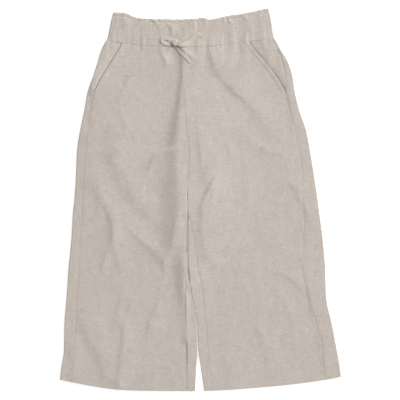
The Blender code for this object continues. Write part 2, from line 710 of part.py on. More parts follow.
def tail(name, points, lift):
    """A free end of the tie, lying on the cloth, and near the knot on the other one."""
    plan = smooth_route(points, TIE_STEPS - 6)
    lowest = np.array([level_over([place]) for place in plan])
    levels = np.convolve(np.pad(lowest, 1, mode="edge"), (0.25, 0.5, 0.25), mode="valid")
    levels = np.maximum(levels, lowest)
    past = (np.linspace(0.0, 1.0, len(plan)) - TAIL_OVERLAP[0]) / TAIL_OVERLAP[1]
    lifts = [lift * (1.0 - smooth(share)) for share in past]
    route = np.column_stack((plan, levels + lifts))
    return ribbon(name, route, flat_across(route))


def knot(name):
    """The knot of the bow, a flattened lump that lies on the waistband."""
    x, y = KNOT_CENTRE
    half = [size / 2 for size in KNOT_SIZE]
    shape = bmesh.new()
    bmesh.ops.create_uvsphere(shape, u_segments=KNOT_STEPS[0], v_segments=KNOT_STEPS[1], radius=1.0)
    lowest = level_over([(x, y)], reach=half[0]) - TIE_CLOTH / 2
    for vert in shape.verts:
        a, b, c = (math.copysign(abs(value) ** KNOT_ROUNDNESS, value) for value in vert.co)
        a, b, c = a * half[0], b * half[1], c * half[2]
        turned_x = a * math.cos(KNOT_TURN) - b * math.sin(KNOT_TURN)
        turned_y = a * math.sin(KNOT_TURN) + b * math.cos(KNOT_TURN)
        vert.co = ((x + turned_x) * MM, (y + turned_y) * MM, (lowest + half[2] + c) * MM)
    return finished(name, shape, TIE_LINEN)


# ---- Meshes, objects and materials ----

def cloth_material(name, colour):
    """A matt cloth with the given colour."""
    material = bpy.data.materials.new(name)
    material.use_nodes = True
    shader = material.node_tree.nodes["Principled BSDF"]
    shader.inputs["Base Color"].default_value = colour
    shader.inputs["Roughness"].default_value = LINEN_ROUGHNESS
    shader.inputs["Metallic"].default_value = 0.0
    material.diffuse_color = colour
    return material


def finished(name, shape, colour):
    """An object of its own, from a closed shape, with its material."""
    bmesh.ops.recalc_face_normals(shape, faces=shape.faces)
    mesh = bpy.data.meshes.new(name)
    shape.to_mesh(mesh)
    shape.free()
    mesh.shade_smooth()
    mesh.set_sharp_from_angle(angle=SHARP_ANGLE)
    mesh.materials.append(cloth_material(name + "_cloth", colour))
    piece = bpy.data.objects.new(name, mesh)
    COLLECTION.objects.link(piece)
    return piece


def loft(name, rings, colour):
    """A closed wall of cloth between matching rows of outer and inner points."""
    shape = bmesh.new()
    outer = [[shape.verts.new(np.array(point) * MM) for point in ring[0]] for ring in rings]
    inner = [[shape.verts.new(np.array(point) * MM) for point in ring[1]] for ring in rings]
    last_row, last_column = len(rings) - 1, len(outer[0]) - 1
    for r in range(last_row):
        for c in range(last_column):
            shape.faces.new((outer[r][c], outer[r][c + 1], outer[r + 1][c + 1], outer[r + 1][c]))
            shape.faces.new((inner[r][c], inner[r + 1][c], inner[r + 1][c + 1], inner[r][c + 1]))
        for c in (0, last_column):
            shape.faces.new((outer[r][c], outer[r + 1][c], inner[r + 1][c], inner[r][c]))
    for r in (0, last_row):
        for c in range(last_column):
            shape.faces.new((outer[r][c], outer[r][c + 1], inner[r][c + 1], inner[r][c]))
    return finished(name, shape, colour)


def build_leg(side, ending):
    """The front and back panels and the pocket facing of one leg."""
    rows = leg_rows(side)
    loft("front_panel_" + ending, [front_ring(side, row) for row in rows], LINEN)
    loft("back_panel_" + ending, [back_ring(side, row) for row in rows], LINEN)
    pocket_rows = [row for row in rows if row > POCKET_END + FACING_ABOVE_END]
    loft("pocket_facing_" + ending, [facing_ring(side, row) for row in pocket_rows], LINEN)


def build_band():
    """The front and the back of the elastic waistband."""
    loft("waistband_front", [band_front_row(share) for share in BAND_LEVELS], LINEN)
    loft("waistband_back", [band_back_row(share) for share in BAND_LEVELS], LINEN)


def build_tie():
    """The knot, loops and free ends of the tie."""
    knot("tie_knot")
    ring_loop("tie_loop_right", RIGHT_LOOP)
    closed_loop("tie_loop_left", LEFT_LOOP)
    tail("tie_tail_right", RIGHT_TAIL, 0.0)
    tail("tie_tail_left", LEFT_TAIL, TAIL_OVERLAP_LIFT)


def centre_on_surface():
    """Moves all points so that the box of the whole stands centred on the surface."""
    meshes = [piece.data for piece in COLLECTION.objects]
    points = np.array([vert.co[:] for mesh in meshes for vert in mesh.vertices])
    low, high = points.min(axis=0), points.max(axis=0)
    shift = np.array(((low[0] + high[0]) / 2, (low[1] + high[1]) / 2, low[2]))
    for mesh in meshes:
        for vert in mesh.vertices:
            vert.co = np.array(vert.co) - shift


for old in list(bpy.data.objects):
    bpy.data.objects.remove(old)
COLLECTION = bpy.data.collections.new("palazzo_trousers")
bpy.context.scene.collection.children.link(COLLECTION)
build_leg(RIGHT, "right")
build_leg(LEFT, "left")
build_band()
build_tie()
centre_on_surface()
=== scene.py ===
"""The looks of cropped palazzo trousers in slubbed linen, laid flat with the front up.

Each piece of cloth is a fine wall on the form of its solid. It has the solid's seams, edges
and main folds, and adds small creases, gathers, rolled seam edges and rows of stitches.
Tables are in millimetres: x towards the wearer's left, y towards the waist, z up. Right and
left are the wearer's.
"""

import math

import bpy
import numpy as np
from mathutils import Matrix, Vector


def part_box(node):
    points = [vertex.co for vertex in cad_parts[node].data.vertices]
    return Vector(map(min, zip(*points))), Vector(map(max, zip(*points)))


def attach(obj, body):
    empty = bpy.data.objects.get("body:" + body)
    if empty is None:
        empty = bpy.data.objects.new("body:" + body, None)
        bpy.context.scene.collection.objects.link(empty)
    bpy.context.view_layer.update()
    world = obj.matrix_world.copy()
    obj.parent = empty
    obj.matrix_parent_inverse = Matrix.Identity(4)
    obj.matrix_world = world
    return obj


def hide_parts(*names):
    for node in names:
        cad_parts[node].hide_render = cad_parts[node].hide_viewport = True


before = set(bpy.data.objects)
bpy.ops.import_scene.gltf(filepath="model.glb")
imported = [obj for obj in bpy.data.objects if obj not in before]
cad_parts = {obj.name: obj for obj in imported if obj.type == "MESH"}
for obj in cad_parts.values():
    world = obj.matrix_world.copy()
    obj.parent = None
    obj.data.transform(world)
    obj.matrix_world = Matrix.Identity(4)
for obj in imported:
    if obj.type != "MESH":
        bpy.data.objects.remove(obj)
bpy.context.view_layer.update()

MM = 0.001
RIGHT = -1
LEFT = 1
SIDE_NAMES = {RIGHT: "right", LEFT: "left"}

# The photograph's frame: its width in pixels and what a pixel stands for.
FRAME_PIXELS = 400
PIXEL = 2.15
FRAME_CENTRE = (-1.075, 0.0)
LENS = 85.0
SENSOR = 36.0

# Cloth.
CLOTH = 1.3
BAND_CLOTH = 2.4
SEAM_GAP = 0.3
LEG_GAP = 0.5
FOLD_REACH = 2.7
UNDERSIDE_RISE = 2.2
UNDERSIDE_HIP_RISE = 0.5
UNDERSIDE_THINNING = 0.3
OUTER_ROUND = 0.7
INNER_ROUND = 0.4
TIE_WIDTH = 9.0
TIE_CLOTH = 0.7
GRID = 2.7
BAND_GRID = 1.35
SHARP_ANGLE = math.radians(60)

# Heights of the top layer over the surface.
PANEL_HEIGHT = 5.2
WAIST_RISE = 0.8
WAIST_RISE_REACH = 60.0
LOWEST_PANEL = CLOTH + SEAM_GAP + CLOTH + 0.1
LOWEST_OVER_POCKET = LOWEST_PANEL + SEAM_GAP + CLOTH
BAND_HEIGHT = 6.2
LOWEST_BAND = BAND_CLOTH + SEAM_GAP + BAND_CLOTH + 0.1
HEADING_DIP = 0.8
LOW_STITCH_DIP = 0.15
DRAWN_IN_DIP = 0.5
HEADING_LEVEL = 0.87
SEAM_BLEND = 24.0
WAIST_HOLD = (0.65, 24.0)

# Where the seams end, up the garment.
CROTCH = -10.0
CROTCH_EASE = 70.0
CROTCH_OPENING = (-160.0, 13.0, 1.6)
OPENING_TURN = 0.5
INNER_STEPS = 24
OUTER_STEPS = 14
UNDERSIDE_COLUMNS = 84
STRIP_COLUMNS = 8
INSEAM_EASE = 40.0
POCKET_END = 231.0
FLAT_WRAP = 0.35
WAIST_BLEND = 90.0
HEM_BLEND = 60.0

# Sewing.
HEM_DEPTH = 43.0
SEAM_DIP = 0.55
SEAM_DIP_BEFORE = 0.12
SEAM_LINE = 0.12
MOUTH_REACH = 4.5
CREASE_EDGE = 0.6
FOLD_END = 3.0
SOFTNESS = 0.3
HEM_STEP = 0.12
HEM_PUCKER_REACH = 9.0
POCKET_RISE = (190.0, 40.0)
LOW_STITCHES = 3.0
HEADING_EASE = 4.0
SEAM_DIP_REACH = 2.4
EDGE_STEPS = np.array((0.0, 0.3, 0.8, 1.5, 2.4, 3.6))
POCKET_STITCHES = (1.8, 6.4)
STITCH_LENGTH = 2.5
STITCH_PITCH = 3.5
STITCH_RADIUS = 0.27
STITCH_SINK = 0.35

# Sections of the legs down the garment: x of the outer fold (edge), of the side seam, of
# the centre front seam or inseam (inner) and of the centre back seam or inner fold.
SECTION_COLUMNS = (
    "y", "edge_right", "side_right", "inner_right", "fold_right",
    "fold_left", "inner_left", "side_left", "edge_left",
)
SECTIONS = (
    (349, -200, -196, -42, -29, -29, -42, 154, 160),
    (322, -214, -209, -42, -29, -29, -42, 166, 174),
    (301, -220, -214, -42, -29, -29, -42, 174, 187),
    (269, -230, -223, -41, -29, -29, -41, 181, 198),
    (232, -243, -229, -38, -29, -29, -38, 184, 204),
    (194, -250, -238, -34, -29, -29, -34, 191, 213),
    (150, -259, -244, -31, -29, -29, -31, 203, 228),
    (103, -266, -250, -26, -28, -28, -26, 212, 237),
    (54, -268, -253, -27, -28, -28, -27, 218, 245),
    (6, -271, -256, -29, -28, -28, -29, 221, 252),
    (-32, -275, -257, -29, -28, -28, -25, 222, 257),
    (-86, -278, -261, -29, -27, -27, -14, 220, 264),
    (-146, -284, -263, -31, -27, -27, -6, 219, 269),
    (-206, -288, -268, -34, -19, -19, 5, 231, 271),
    (-269, -293, -270, -33, -8, -8, 11, 249, 284),
    (-322, -294, -274, -32, -6, -5, 15, 261, 294),
    (-370, -301, -277, -32, -9, 2, 19, 264, 302),
    (-413, -304, -281, -31, -11, 8, 23, 267, 306),
)
BOTH_SIDES = ("y", "right", "left")
POCKET_MOUTHS = (
    (342, -165, 103),
    (320, -178, 119),
    (297, -192, 139),
    (264, -212, 164),
    (241, -224, 178),
    (228, -231, 186),
)

# The curved seams and edges that run across: x and y along each.
WAIST_SEAM = (
    (-210, 345), (-180, 339), (-143, 334), (-87, 329), (-1, 328), (59, 333), (104, 340),
    (167, 349),
)
WAIST_TOP = (
    (-199, 404), (-164, 403), (-137, 393), (-109, 390), (-42, 389), (8, 392),
    (20, 389), (51, 395), (106, 404), (137, 411), (158, 412),
)
RIGHT_HEM = ((-309, -385), (-270, -393), (-227, -401), (-184, -407), (-130, -410), (-5, -411))
LEFT_HEM = (
    (-1, -411), (63, -408), (128, -403), (192, -397), (246, -390), (278, -385), (314, -378),
)
BAND_EDGES = (
    (344, -201, 160), (366, -196, 156), (387, -192, 153), (404, -188, 149), (412, -187, 147),
)
BAND_INSET = 5.5

# The main folds. Each runs through its points, given as (x, y, width to the right, width to
# the left, height), and swells by the height. Its sides reach out by the two widths, to the
# right and to the left as one walks along it.
PANEL_FOLDS = {
    "centre ridge": (
        (-34, 331, 10, 78, 3.5), (-36, 270, 7, 95, 1.3), (-41, 217, 10, 95, 3.5),
        (-45, 167, 15, 95, 4.6), (-43, 117, 22, 95, 4.2), (-48, 64, 28, 95, 4.9),
        (-42, -1, 33, 95, 5.7), (-46, -47, 34, 95, 4.8), (-59, -90, 23, 94, 3.7),
        (-73, -125, 20, 53, 1.1), (-78, -161, 7, 95, 0.1), (-84, -204, 7, 46, 0.4),
        (-97, -248, 10, 21, 1.2), (-113, -290, 9, 41, 0.3),
    ),
    "inner ridge": (
        (-32, -104, 21, 58, 0), (-35, -139, 17, 60, 3.4), (-36, -176, 16, 60, 2.9),
        (-35, -211, 12, 60, 1.4), (-31, -254, 13, 60, 0.7), (-30, -301, 7, 60, 1),
    ),
    "gap ridge": (
        (-26, -60, 2, 22, 0), (-27, -105, 2, 22, 0.5), (-26, -146, 2, 22, 1),
        (-22, -190, 2, 20, 0.8), (-14, -235, 2, 18, 0.3), (-8, -270, 2, 18, 0),
    ),
    "belly step": (
        (-203, 146, 14, 30, 0), (-188, 103, 21, 34, 2.4), (-174, 69, 23, 42, 2.5),
        (-159, 42, 24, 30, 1.4), (-144, 16, 20, 32, 1.5), (-122, -11, 26, 28, 1.7),
        (-104, -39, 11, 10, 0.3),
    ),
    "thigh ridge": (
        (-229, 85, 15, 15, 0.6), (-218, 58, 21, 30, 0.3), (-199, 18, 21, 9, 0.7),
        (-171, -17, 16, 13, 0.1), (-137, -56, 19, 8, 0.2), (-110, -90, 12, 9, 0.3),
        (-84, -119, 14, 13, 0.9),
    ),
    "knee step": (
        (-231, 49, 25, 25, 1.3), (-216, 10, 11, 11, 0.8), (-198, -22, 7, 22, 0.9),
        (-186, -46, 13, 39, 2.1), (-186, -77, 13, 38, 1.6), (-192, -108, 18, 28, 0.8),
        (-205, -138, 11, 46, 0),
    ),
    "hip step": (
        (-149, 275, 29, 35, 1.2), (-161, 249, 28, 62, 0.7), (-168, 228, 24, 68, 1.3),
        (-184, 218, 23, 61, 1.3), (-211, 206, 24, 35, 0.8), (-236, 189, 12, 18, 0),
    ),
    "low hip step": (
        (-242, 138, 18, 23, 1.3), (-220, 146, 15, 32, 1.4), (-197, 153, 20, 29, 1.7),
        (-164, 148, 40, 42, 1.7),
    ),
    "hem step a": (
        (-255, -235, 18, 22, 0.5), (-243, -285, 11, 48, 1.3), (-228, -311, 16, 58, 1.4),
        (-213, -335, 16, 40, 1.4), (-207, -372, 10, 35, 1), (-197, -400, 7, 25, 0),
    ),
    "hem step b": (
        (-160, -242, 7, 35, 0), (-162, -289, 8, 29, 1.1), (-165, -322, 8, 38, 1.2),
        (-170, -353, 10, 51, 1.2), (-173, -400, 12, 10, 1.3),
    ),
    "shin step": ((-166, -193, 12, 20, 0.5), (-172, -224, 7, 9, 0), (-178, -263, 11, 8, 0.4)),
    "side hem ridge": (
        (-269, -281, 13, 8, 0.1), (-272, -314, 16, 16, 0.8), (-272, -352, 9, 28, 0.7),
        (-278, -396, 11, 36, 0.5),
    ),
    "diagonal crease": (
        (17, 335, 23, 35, 2.88), (26, 298, 7, 47, 0.92), (38, 279, 12, 53, 1.72),
        (49, 258, 7, 69, 0.69), (69, 243, 9, 47, 2.07), (85, 217, 17, 45, 0),
        (112, 201, 12, 42, 0.46), (132, 182, 14, 34, 1.03), (150, 146, 12, 33, 0.57),
        (164, 125, 7, 20, 0),
    ),
    "crotch crease": (
        (36, 55, 29, 31, 1.92), (24, 30, 8, 36, 1.56), (13, 8, 7, 37, 1.92), (6, -15, 8, 40, 1.68),
        (7, -46, 11, 62, 1.68), (7, -83, 12, 47, 1.56), (14, -111, 18, 40, 2.4),
        (20, -136, 15, 19, 0.24),
    ),
    "belly crease": (
        (-3, 168, 10, 31, 0), (-1, 129, 8, 19, 0.72), (4, 96, 8, 50, 1.08), (4, 64, 7, 18, 0.84),
        (12, 42, 12, 10, 1.08),
    ),
    "side crease": (
        (186, 45, 7, 17, 0), (207, 24, 7, 36, 0.98), (218, -2, 7, 46, 0.78),
        (230, -23, 7, 38, 0.98), (239, -52, 7, 19, 0.2),
    ),
    "calf crease": (
        (145, -144, 7, 8, 0.14), (175, -157, 8, 23, 0.42), (199, -169, 7, 15, 0.56),
        (215, -186, 7, 13, 0.56), (227, -209, 7, 8, 0),
    ),
    "hem crease": (
        (111, -258, 12, 24, 0), (128, -283, 7, 24, 0.5), (140, -312, 15, 36, 0.4),
        (149, -348, 13, 29, 0),
    ),
    "seat crease": (
        (80, 143, 7, 33, 0.1), (109, 128, 26, 12, 0.7), (137, 113, 13, 8, 0.1),
        (162, 104, 10, 10, 0),
    ),
    "side ridge": (
        (220, -116, 21, 16, 0.2), (228, -154, 7, 36, 0.2), (234, -191, 7, 48, 0.9),
        (241, -228, 7, 65, 0.9), (251, -271, 7, 56, 0.1), (269, -302, 20, 57, 1.5),
        (271, -348, 10, 61, 1.2), (270, -387, 7, 24, 0),
    ),
    "pocket ridge": (
        (187, 246, 8, 13, 0.5), (194, 214, 7, 33, 1), (201, 174, 10, 16, 0.8),
        (207, 142, 21, 16, 0.3),
    ),
    "hip seam ridge": (
        (-232, 245, 8, 50, 2), (-227, 215, 8, 40, 0.6), (-231, 181, 7, 32, 0.8),
        (-233, 146, 8, 13, 0.1),
    ),
}
# Folds and creases of the waistband: the two widths, then points of (x, y, height).
BAND_GATHERS = (
    (7, 7, (-177, 396, -0.07), (-176, 372, -0.23), (-174, 346, -0.14)),
    (6, 6, (-162, 403, 0.24), (-162, 385, 0.3), (-162, 352, 0.09)),
    (6, 6, (-148, 397, -0.11), (-147, 380, -0.23), (-146, 360, -0.05)),
    (7, 7, (-134, 366, -0.05), (-133, 350, -0.23), (-133, 335, -0.2)),
    (7, 7, (-121, 390, 0.13), (-120, 372, 0.33), (-119, 340, 0.2)),
    (5, 5, (-106, 364, -0.05), (-105, 350, -0.23), (-104, 333, -0.2)),
    (7, 7, (-85, 388, 0.14), (-84, 366, 0.23), (-84, 332, 0.11)),
    (5, 5, (-69, 378, -0.08), (-68, 366, -0.25), (-69, 348, -0.15)),
    (4, 4, (-60, 381, 0.15), (-59, 370, 0.38), (-60, 350, 0.15)),
    (5, 5, (-42, 388, -0.1), (-42, 360, -0.2), (-42, 332, -0.1)),
    (6, 6, (-27, 386, 0.12), (-17, 378, 0.3), (-17, 366, 0.09)),
    (5, 5, (-4, 388, -0.23), (-4, 376, -0.25), (-5, 352, -0.05)),
    (6, 6, (9, 390, 0.24), (9, 372, 0.3), (8, 350, 0.12)),
    (6, 6, (23, 356, -0.05), (23, 346, -0.23), (22, 332, -0.2)),
    (6, 6, (33, 388, 0.11), (33, 366, 0.28), (33, 340, 0.22)),
    (6, 6, (44, 360, -0.05), (45, 348, -0.23), (46, 334, -0.2)),
    (7, 7, (66, 394, 0.21), (65, 372, 0.3), (66, 342, 0.12)),
    (6, 6, (86, 398, -0.14), (86, 376, -0.2), (87, 348, -0.06)),
    (6, 6, (101, 400, 0.17), (102, 376, 0.28), (104, 350, 0.17)),
    (5, 5, (113, 378, -0.08), (114, 366, -0.25), (116, 354, -0.08)),
    (5, 6, (128, 387, -0.2), (131, 368, -0.25), (140, 346, -0.2)),
    (6, 6, (140, 404, 0.13), (142, 384, 0.25), (148, 356, 0.13)),
)

# Crisp creases, in the same form: their right side is a steep step, too small for the
# solids, and their left side falls away gently.
PANEL_CREASES = {
    "centre edge": (
        (-40, 331, 7, 14, 1.28), (-43, 301, 9.4, 12, 0.39), (-40, 269, 9.1, 27, 1.07),
        (-46, 236, 6.6, 22, 0), (-48, 206, 8.5, 12, 0), (-54, 173, 10.5, 24, 0),
        (-60, 137, 8.2, 28, 1.14), (-66, 108, 12, 13, 0.44),
    ),
    "ridge edge": (
        (-55, 112, 12, 16, 0.69), (-53, 75, 12, 12, 0.56), (-51, 43, 12, 17, 0.67),
        (-45, 8, 10.7, 8, 0), (-47, -23, 10.2, 8, 0.68), (-55, -52, 4.7, 15, 1.28),
        (-60, -85, 5.6, 22, 1.06), (-67, -112, 8.4, 8, 0.92), (-80, -131, 3, 10, 0.86),
    ),
    "inner edge": (
        (-33, -133, 11.8, 8, 0.29), (-34, -159, 12, 10, 0.81), (-37, -189, 9.5, 12, 0.7),
        (-43, -216, 9.4, 8, 0.49), (-43, -232, 8.2, 8, 0),
    ),
    "branch edge": (
        (-52, 114, 5, 8, 0.8), (-66, 108, 4, 9, 1.9), (-82, 104, 3.5, 12, 2.2),
        (-95, 97, 3.2, 16, 2), (-104, 86, 3.2, 14, 1.6), (-110, 74, 3.5, 10, 0.9),
        (-114, 54, 4.5, 8, 0.4),
    ),
    "fork edge": (
        (-156, -64, 8.3, 11, 0.45), (-137, -79, 7.6, 8, 0.68), (-116, -98, 5.5, 8, 0.76),
        (-96, -116, 6.3, 22, 0.61), (-82, -134, 7, 14, 0.11), (-76, -155, 7.1, 8, 0.59),
    ),
    "knee edge": (
        (-234, 41, 4.8, 14, 0.01), (-224, 17, 5.5, 14, 0.14), (-213, -4, 6.5, 16, 0.34),
        (-201, -24, 6.7, 10, 0.29), (-190, -44, 6.3, 16, 0.48), (-188, -71, 7.8, 17, 1.6),
        (-190, -93, 8.1, 22, 1.09), (-204, -113, 5.7, 8, 0.66), (-210, -141, 5.2, 10, 1.07),
        (-212, -155, 7.4, 8, 0.35),
    ),
    "knee spur": ((-218, 4, 4.4, 16, 0), (-219, -14, 6.5, 10, 0.89), (-220, -31, 5.4, 11, 0.3)),
    "low spur": ((-187, -95, 3.7, 11, 0.16), (-180, -116, 4, 14, 0.4), (-172, -147, 12, 16, 0.73)),
    "hip edge": (
        (-151, 269, 3.6, 11, 0.29), (-160, 248, 3.2, 26, 1.02), (-170, 231, 3, 21, 0.63),
        (-174, 218, 5.7, 11, 0.57),
    ),
    "hip line a": ((-197, 148, 4.4, 11, 0.18), (-170, 141, 5.2, 8, 0.45), (-156, 138, 4.5, 8, 0)),
    "hip line b": (
        (-242, 99, 3.9, 8, 0), (-220, 101, 4.7, 11, 0.64), (-197, 101, 5.5, 13, 0.12),
        (-173, 108, 7.8, 10, 0.62),
    ),
    "hip line c": (
        (-175, 198, 3.5, 11, 0.01), (-171, 180, 4.6, 9, 0.42), (-162, 163, 4.3, 9, 0.29),
        (-158, 146, 3.1, 9, 0.1),
    ),
    "hip line d": ((-190, 163, 7.8, 9, 0.88), (-199, 148, 3.5, 8, 0.5), (-202, 129, 4, 10, 0)),
    "hem edge a": (
        (-233, -307, 3.8, 19, 0), (-218, -326, 3.6, 26, 0.47), (-213, -348, 4.6, 18, 0),
    ),
    "hem edge b": (
        (-165, -253, 3.8, 10, 0), (-166, -285, 6.6, 15, 0.44), (-170, -314, 4.4, 14, 0.36),
        (-173, -344, 3, 20, 0.47), (-178, -369, 5, 18, 0.08), (-177, -400, 4.6, 18, 0.25),
    ),
    "hem edge e": ((-200, -374, 4.3, 9, 0), (-192, -387, 3.4, 13, 0.52), (-184, -402, 3.6, 8, 0)),
    "shin edge": ((-169, -198, 3, 18, 0.14), (-172, -221, 3, 21, 0.58), (-181, -254, 3, 8, 0.25)),
    "shin edge b": (
        (-110, -247, 6.2, 21, 0), (-111, -272, 7.3, 21, 1.1), (-115, -311, 3.9, 16, 0.22),
    ),
    "shin line c": (
        (-149, -215, 9.5, 10, 0.6), (-151, -232, 6.9, 12, 0.54), (-158, -250, 3, 21, 0.15),
    ),
    "inseam edge": (
        (-32, -204, 5.9, 8, 1.33), (-31, -228, 3, 8, 1.06), (-32, -254, 4, 8, 1.07),
        (-31, -284, 5.2, 8, 0.53), (-30, -310, 5, 8, 0.07),
    ),
    "diagonal edge": (
        (18, 327, 3.5, 18, 0.94), (26, 302, 3, 27, 1.19), (29, 284, 4.4, 20, 0),
        (43, 261, 3.8, 17, 0), (62, 241, 3.2, 23, 0), (85, 222, 3, 37, 1.12),
        (104, 205, 3, 25, 0.32),
    ),
    "crotch edge": ((33, 51, 3, 8, 0.73), (22, 29, 3.2, 18, 1.42), (8, 9, 4.8, 15, 0)),
    "seat edge": (
        (117, 114, 4.2, 8, 0), (137, 108, 3.7, 9, 0.47), (160, 101, 3.5, 8, 0.12),
        (180, 92, 3.6, 9, 0.2),
    ),
    "seam edge": (
        (217, -125, 5.6, 9, 0.2), (224, -157, 3, 8, 0.16), (231, -191, 3, 8, 0.27),
        (235, -226, 3, 8, 0.22), (247, -269, 3, 8, 0.24), (260, -298, 3, 12, 0),
    ),
    "hem line f": ((18, -327, 4.9, 8, 0.26), (20, -340, 3.7, 12, 0.43), (16, -357, 3.7, 9, 0.46)),
    "belly line g": ((58, 116, 3.5, 8, 0.35), (62, 101, 3, 8, 0.44), (66, 86, 3, 8, 0.13)),
    "thigh line h": (
        (91, 76, 12, 24, 0.62), (95, 43, 4.2, 20, 0.21), (99, 11, 3.3, 9, 0.28),
        (98, -26, 3.6, 9, 0),
    ),
    "thigh line i": ((150, 69, 4.6, 8, 0.17), (153, 52, 3.1, 9, 0.22), (158, 34, 3.1, 13, 0)),
    "facing line": ((129, 342, 3, 8, 0.3), (136, 330, 3, 8, 0.6), (142, 315, 3, 8, 0.1)),
    "waist line a": ((-87, 322, 3.1, 8, 0.52), (-76, 300, 4.7, 11, 1.66), (-72, 279, 5.4, 19, 0)),
    "waist line b": ((-137, 329, 4.1, 8, 0), (-130, 305, 6.7, 10, 0.32), (-126, 280, 4.8, 12, 0)),
    "waist line d": ((57, 333, 3.6, 8, 0.58), (60, 316, 4.9, 8, 0.09), (66, 297, 4.4, 8, 0)),
    "waist line e": ((35, 329, 3.6, 8, 0.54), (40, 314, 4.2, 8, 0)),
    "waist line f": ((85, 335, 3.5, 8, 0.43), (91, 318, 3.9, 8, 0)),
}
BAND_WAVE = (
    (-76, 383, 3, 6, 0.3), (-69, 376, 3, 6, 0.9), (-64, 366, 3, 7, 1), (-66, 350, 3, 6, 0.3),
)
BAND_CREASES = (
    (2.5, 5, (-57, 378, 0.2), (-59, 368, 0.6), (-60, 355, 0.5)),
    (2.5, 5, (-108, 366, 0), (-107, 350, 0.7), (-108, 333, 0.2)),
    (2.5, 5, (-112, 361, 0), (-112, 348, 0.4), (-113, 335, 0.1)),
    (2.5, 6, (-97, 359, 0), (-96, 344, 0.35), (-97, 333, 0.1)),
    (2.5, 5, (-86, 372, 0), (-85, 368, 0.5), (-84, 361, 0.1)),
    (3, 8, (-144, 374, 0), (-143, 359, 0.3), (-144, 344, 0)),
    (3, 8, (-135, 363, 0), (-134, 348, 0.35), (-133, 331, 0)),
    (4, 9, (-166, 400, 0.2), (-161, 378, 0.35), (-163, 357, 0)),
    (3, 6, (-15, 385, 0.4), (-13, 368, 0.5), (-19, 350, 0.2)),
    (3, 7, (-22, 378, 0.1), (-24, 366, 0.45), (-24, 353, 0.2)),
    (3, 6, (-6, 383, 0.5), (-2, 368, 0.2)),
    (3, 8, (19, 381, 0.1), (20, 361, 0.35), (22, 338, 0.1)),
    (2.5, 5, (43, 355, 0), (44, 346, 0.7), (46, 333, 0.3)),
    (3, 6, (110, 385, 0.1), (112, 368, 0.55), (116, 350, 0.2)),
    (3, 6, (125, 400, 0.3), (129, 385, 0.7), (131, 370, 0.6), (125, 350, 0.2)),
    (3, 8, (101, 383, 0), (105, 366, 0.35), (105, 353, 0)),
    (3, 8, (64, 370, 0), (64, 359, 0.3), (64, 348, 0)),
    (2.5, 4, (-95, 388, 0.3), (-96, 379, 0.8)),
    (2.5, 4, (61, 391, 0.1), (62, 383, 0.8)),
    (2.5, 4, (92, 400, 0.3), (97, 389, 0.8)),
)

# Random swells of the cloth: height, lean along x and along y, size across, size up, seed.
NOISE_CELLS = 64
NOISE_SHIFT = 1000.0
RUMPLES = (
    (0.34, 0.2, 0.0, 46.0, 74.0, 1),
    (0.17, -0.15, 0.0, 20.0, 33.0, 2),
    (0.09, 0.0, 0.3, 9.0, 14.0, 3),
)
HEM_PUCKERS = ((0.16, 0.0, 0.0, 5.5, 30.0, 7),)
FRILL = ((0.5, 0.0, 0.0, 4.6, 9.0, 21),)
BAND_TUCKS = ((0.17, 0.05, 0.0, 5.2, 26.0, 22), (0.13, 0.2, 0.0, 2.8, 9.0, 23))
BAND_PUCKERS = ((0.5, 0.2, 0.0, 3.3, 16.0, 27),)
# Size across, size up and seed of the swells that vary how strong some details are.
SEAM_SHARE = (31.0, 43.0, 71)
HEADING_SHARE = (13.0, 50.0, 26)
DRAWN_IN_SHARE = (8.0, 50.0, 29)
TUCK_SHARE = (40.0, 60.0, 24)
PUCKER_SHARE = (26.0, 90.0, 28)
UNDERSIDE_SHARE = (34.0, 120.0, 31)
BACK_TUCK_SHARE = (6.0, 40.0, 41)
TOP_EDGE_SHARE = (5.0, 1e6, 25)
# Thin lines: depth, thinness, then as above. Their share: mean, swing, sizes and seed.
RUMPLE_LINES = ((0.10, 0.16, 0.35, -0.1, 17.0, 39.0, 5), (0.09, 0.13, -0.2, 0.25, 36.0, 19.0, 6))
RUMPLE_SHARE = (0.55, 0.6, 90.0, 110.0, 4)
# Gathers under the waistband: height, lean, reach down, size across, size up, seed.
WAIST_GATHERS = ((0.75, 0.1, 15.0, 6.5, 90.0, 11), (0.7, 0.15, 42.0, 14.0, 140.0, 12))

# The bow.
KNOT_CENTRE = (-54.2, 338.0)
KNOT_SIZE = (15.4, 13.6, 3.4)
KNOT_TURN = math.radians(-35)
KNOT_ROUNDNESS = 0.5
KNOT_GRID = (64, 36)
RIGHT_LOOP = (
    (-63.0, 336.4), (-68.6, 335.8), (-74.6, 336.2), (-80.0, 338.6), (-82.4, 342.6),
    (-80.2, 346.8), (-75.4, 348.2), (-70.4, 347.0), (-66.0, 344.6), (-62.2, 341.8),
)
LEFT_LOOP = ((-43.8, 332.4), (-33.4, 332.6), (-23.8, 338.6), (-11.8, 349.6), (-0.6, 355.2))
RIGHT_TAIL = ((-51.0, 331.0), (-44.8, 320.8), (-35.8, 311.4), (-19.5, 295.5))
LEFT_TAIL = ((-45.0, 333.0), (-37.0, 325.4), (-28.9, 318.0), (-12.7, 302.3))
LOOP_SHIFT = (1.4, 4.2)
LOOP_TURN = 0.6
LOOP_START_LIFT = 1.6
LOOP_START_SHARE = 0.5
RING_CLIMB = 0.85
TAIL_OVERLAP_LIFT = 0.8
TAIL_OVERLAP = (0.3, 0.3)
TIE_CLEARANCE = 0.12

# Colours, linear, and light.
LINEN = (0.585, 0.520, 0.468)
TIE_LINEN = (0.600, 0.545, 0.480)
THREAD = (0.640, 0.575, 0.510)
WHITE = (0.92, 0.92, 0.92)
FLOOR_GLOW = 0.6
FLOOR_SIZE = 60.0
FLOOR_DROP = 0.0003
SKY = 0.36
KEY_FROM = (11.1, 7.7, 6.0)
KEY_SIZE = 11.6
KEY_POWER = 3500.0

